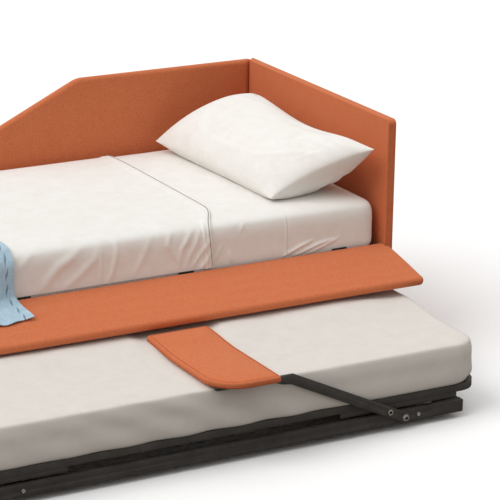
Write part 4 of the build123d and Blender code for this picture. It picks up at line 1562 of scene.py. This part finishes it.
@dataclass
class Wheel:
    """One trundle wheel: a moulded hub with webs and a rubber tread."""

    place: str
    spokes: int = 6
    bore: float = 0.00405
    boss: float = 0.0085
    disc: float = 0.0018
    tread: float = 0.005
    web: float = 0.0011

    def build(self) -> None:
        """Turn the tread, mould the hub, and let both ride on the wheel's body."""
        self.build_tread()
        self.build_hub()

    def turned(
        self, name: str, profile: Sequence[tuple[float, float]], centre: Vector
    ) -> bpy.types.Object:
        """Spin a closed profile round the axle.

        Args:
            name: the piece's name.
            profile: pairs of distance along the axle and radius.
            centre: the wheel's centre.

        Returns:
            The turned piece.
        """
        piece = primitive(
            bpy.ops.mesh.primitive_circle_add, name,
            vertices=len(profile), radius=1.0, fill_type="NOTHING",
        )
        places = [(centre.x + reach, centre.y, centre.z + radius) for reach, radius in profile]
        move_points(piece, np.array(places))
        pick(piece, edges=lambda e: True)
        bpy.ops.mesh.spin(
            steps=48, angle=math.tau, center=centre, axis=(1, 0, 0), use_auto_merge=True,
            dupli=False,
        )
        face_outwards(piece, merge=0.00005)
        return piece

    def build_tread(self) -> None:
        """Turn the tread with a crowned face."""
        low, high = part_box(f"wheel_tyre_{self.place}")
        half, outer = (high.x - low.x) / 2, (high.z - low.z) / 2
        inner = outer - self.tread
        profile = (
            (-half, inner), (-half, outer - 0.003), (-half * 0.8, outer - 0.0008), (0.0, outer),
            (half * 0.8, outer - 0.0008), (half, outer - 0.003), (half, inner),
        )
        piece = self.turned(f"wheel_tread_{self.place}", profile, (low + high) / 2)
        settle(piece, RUBBER, f"wheel_{self.place}", f"wheel_tyre_{self.place}", angle=50)

    def build_hub(self) -> None:
        """Turn the hub with a rim, a thin disc and a boss, then add its webs."""
        low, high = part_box(f"wheel_hub_{self.place}")
        centre, half = (low + high) / 2, (high.x - low.x) / 2
        outer = (high.z - low.z) / 2
        rim, boss, disc = outer - 0.0025, self.boss, self.disc
        left = (
            (-half, self.bore), (-half, boss), (-disc, boss + 0.001), (-disc, rim - 0.001),
            (-half * 0.95, rim), (-half * 0.95, outer),
        )
        profile = left + tuple((-reach, radius) for reach, radius in reversed(left))
        piece = self.turned(f"wheel_hub_moulded_{self.place}", profile, centre)
        for number in range(self.spokes):
            web = block(
                f"web_{self.place}_{number}",
                (-half * 0.8, -self.web, boss - 0.0005),
                (half * 0.8, self.web, rim + 0.0005),
            )
            turn = Matrix.Rotation(math.tau * number / self.spokes, 4, "X")
            web.data.transform(Matrix.Translation(centre) @ turn)
            only(piece)
            web.select_set(True)
            bpy.ops.object.join()
        modify(
            piece, "BEVEL", width=0.0003, segments=1, limit_method="ANGLE",
            angle_limit=math.radians(50),
        )
        settle(piece, PLASTIC, f"wheel_{self.place}", f"wheel_hub_{self.place}", angle=40)


# --- studio ---------------------------------------------------------------------------


@dataclass
class Studio:
    """A white sweep of floor, an overcast sky, one soft sun and the camera."""

    aim: Point = (-0.0440, -1.0933, 0.7741)
    distance: float = 7.0
    azimuth: float = -29.5
    elevation: float = 17.7
    roll: float = 1.0
    lens: float = 184.32
    sky: tuple[tuple[float, str], ...] = ((0.0, "#A39F9A"), (0.35, "#B9B6B2"), (0.9, "#FFFFFF"))
    bounce: str = "#837E78"
    sun: float = 1.25
    sun_angle: float = 40.0
    sun_from: Point = (-0.80, 0.02, 0.9)

    def build(self) -> None:
        """Lay the floor, hang the lights and place the camera."""
        self.place_camera()
        self.lay_floor()
        world = bpy.data.worlds.new("overcast")
        world.use_nodes = True
        tree = world.node_tree
        place = node(tree, "ShaderNodeTexCoord").outputs["Generated"]
        height = node(tree, "ShaderNodeSeparateXYZ", inputs={0: place}).outputs["Z"]
        sky = node(tree, "ShaderNodeValToRGB", inputs={"Fac": height}, stops=self.sky)
        feed(tree, tree.nodes["Background"], {"Color": self.white_to_camera(tree, sky)})
        bpy.context.scene.world = world
        lamp = bpy.data.lights.new("soft_sun", "SUN")
        lamp.energy, lamp.angle = self.sun, math.radians(self.sun_angle)
        sun = linked("soft_sun", lamp)
        sun.rotation_mode = "QUATERNION"
        sun.rotation_quaternion = Vector(self.sun_from).to_track_quat("Z", "Y")
        bpy.context.scene.view_settings.view_transform = "Standard"

    def white_to_camera(self, tree: bpy.types.NodeTree, other: object) -> bpy.types.Node:
        """Show white to the camera and another colour to every other ray.

        Args:
            tree: the node tree.
            other: the other colour, or the node that gives it.

        Returns:
            The node that mixes them.
        """
        seen = node(tree, "ShaderNodeLightPath").outputs["Is Camera Ray"]
        colours = {"Factor": seen, "A": other, "B": linear("#FFFFFF")}
        return node(tree, "ShaderNodeMix", {"data_type": "RGBA"}, colours)

    def lay_floor(self) -> None:
        """Lay a floor that is white to the eye but sends little light back up.

        It stands for the cut-out backdrop of a product picture.
        """
        floor = primitive(bpy.ops.mesh.primitive_plane_add, "studio_floor", size=60.0)
        material = bpy.data.materials.new("floor_white_matt_paint")
        material.use_nodes = True
        tree = material.node_tree
        paint = self.white_to_camera(tree, linear(self.bounce))
        feed(
            tree, tree.nodes["Principled BSDF"],
            {"Base Color": paint, "Roughness": 0.8, "Specular IOR Level": 0.0},
        )
        floor.data.materials.append(material)
        floor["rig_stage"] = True

    def place_camera(self) -> None:
        """Look at the aim point from the given angle."""
        azimuth, elevation = math.radians(self.azimuth), math.radians(self.elevation)
        level = math.cos(elevation)
        back = Vector(
            (math.sin(azimuth) * level, -math.cos(azimuth) * level, math.sin(elevation))
        )
        data = bpy.data.cameras.new("camera")
        data.lens, data.sensor_width, data.clip_end = self.lens, 36.0, 100.0
        camera = linked("camera", data)
        camera.location = Vector(self.aim) + back * self.distance
        camera.rotation_mode = "QUATERNION"
        roll = Quaternion((0, 0, 1), math.radians(self.roll))
        camera.rotation_quaternion = (-back).to_track_quat("-Z", "Y") @ roll
        bpy.context.scene.camera = camera


def main() -> None:
    """Build every sub-assembly round the frame."""
    logging.basicConfig(level=logging.INFO, format="%(name)s: %(message)s")
    wheels = [Wheel(place) for place in ("head_front", "head_back", "foot_front", "foot_back")]
    for part in (
        Studio(), CornerUpholstery(), FixedMattress(), TrundleMattress(), Pillow(), FrontFlap(),
        Headrest(), SteelWork(), *wheels, Throw(),
    ):
        part.build()
        log.info("built %s", type(part).__name__)
    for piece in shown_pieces():
        log.info("%s: %d faces", piece.name, len(piece.data.polygons))


if __name__ == "__main__":
    main()
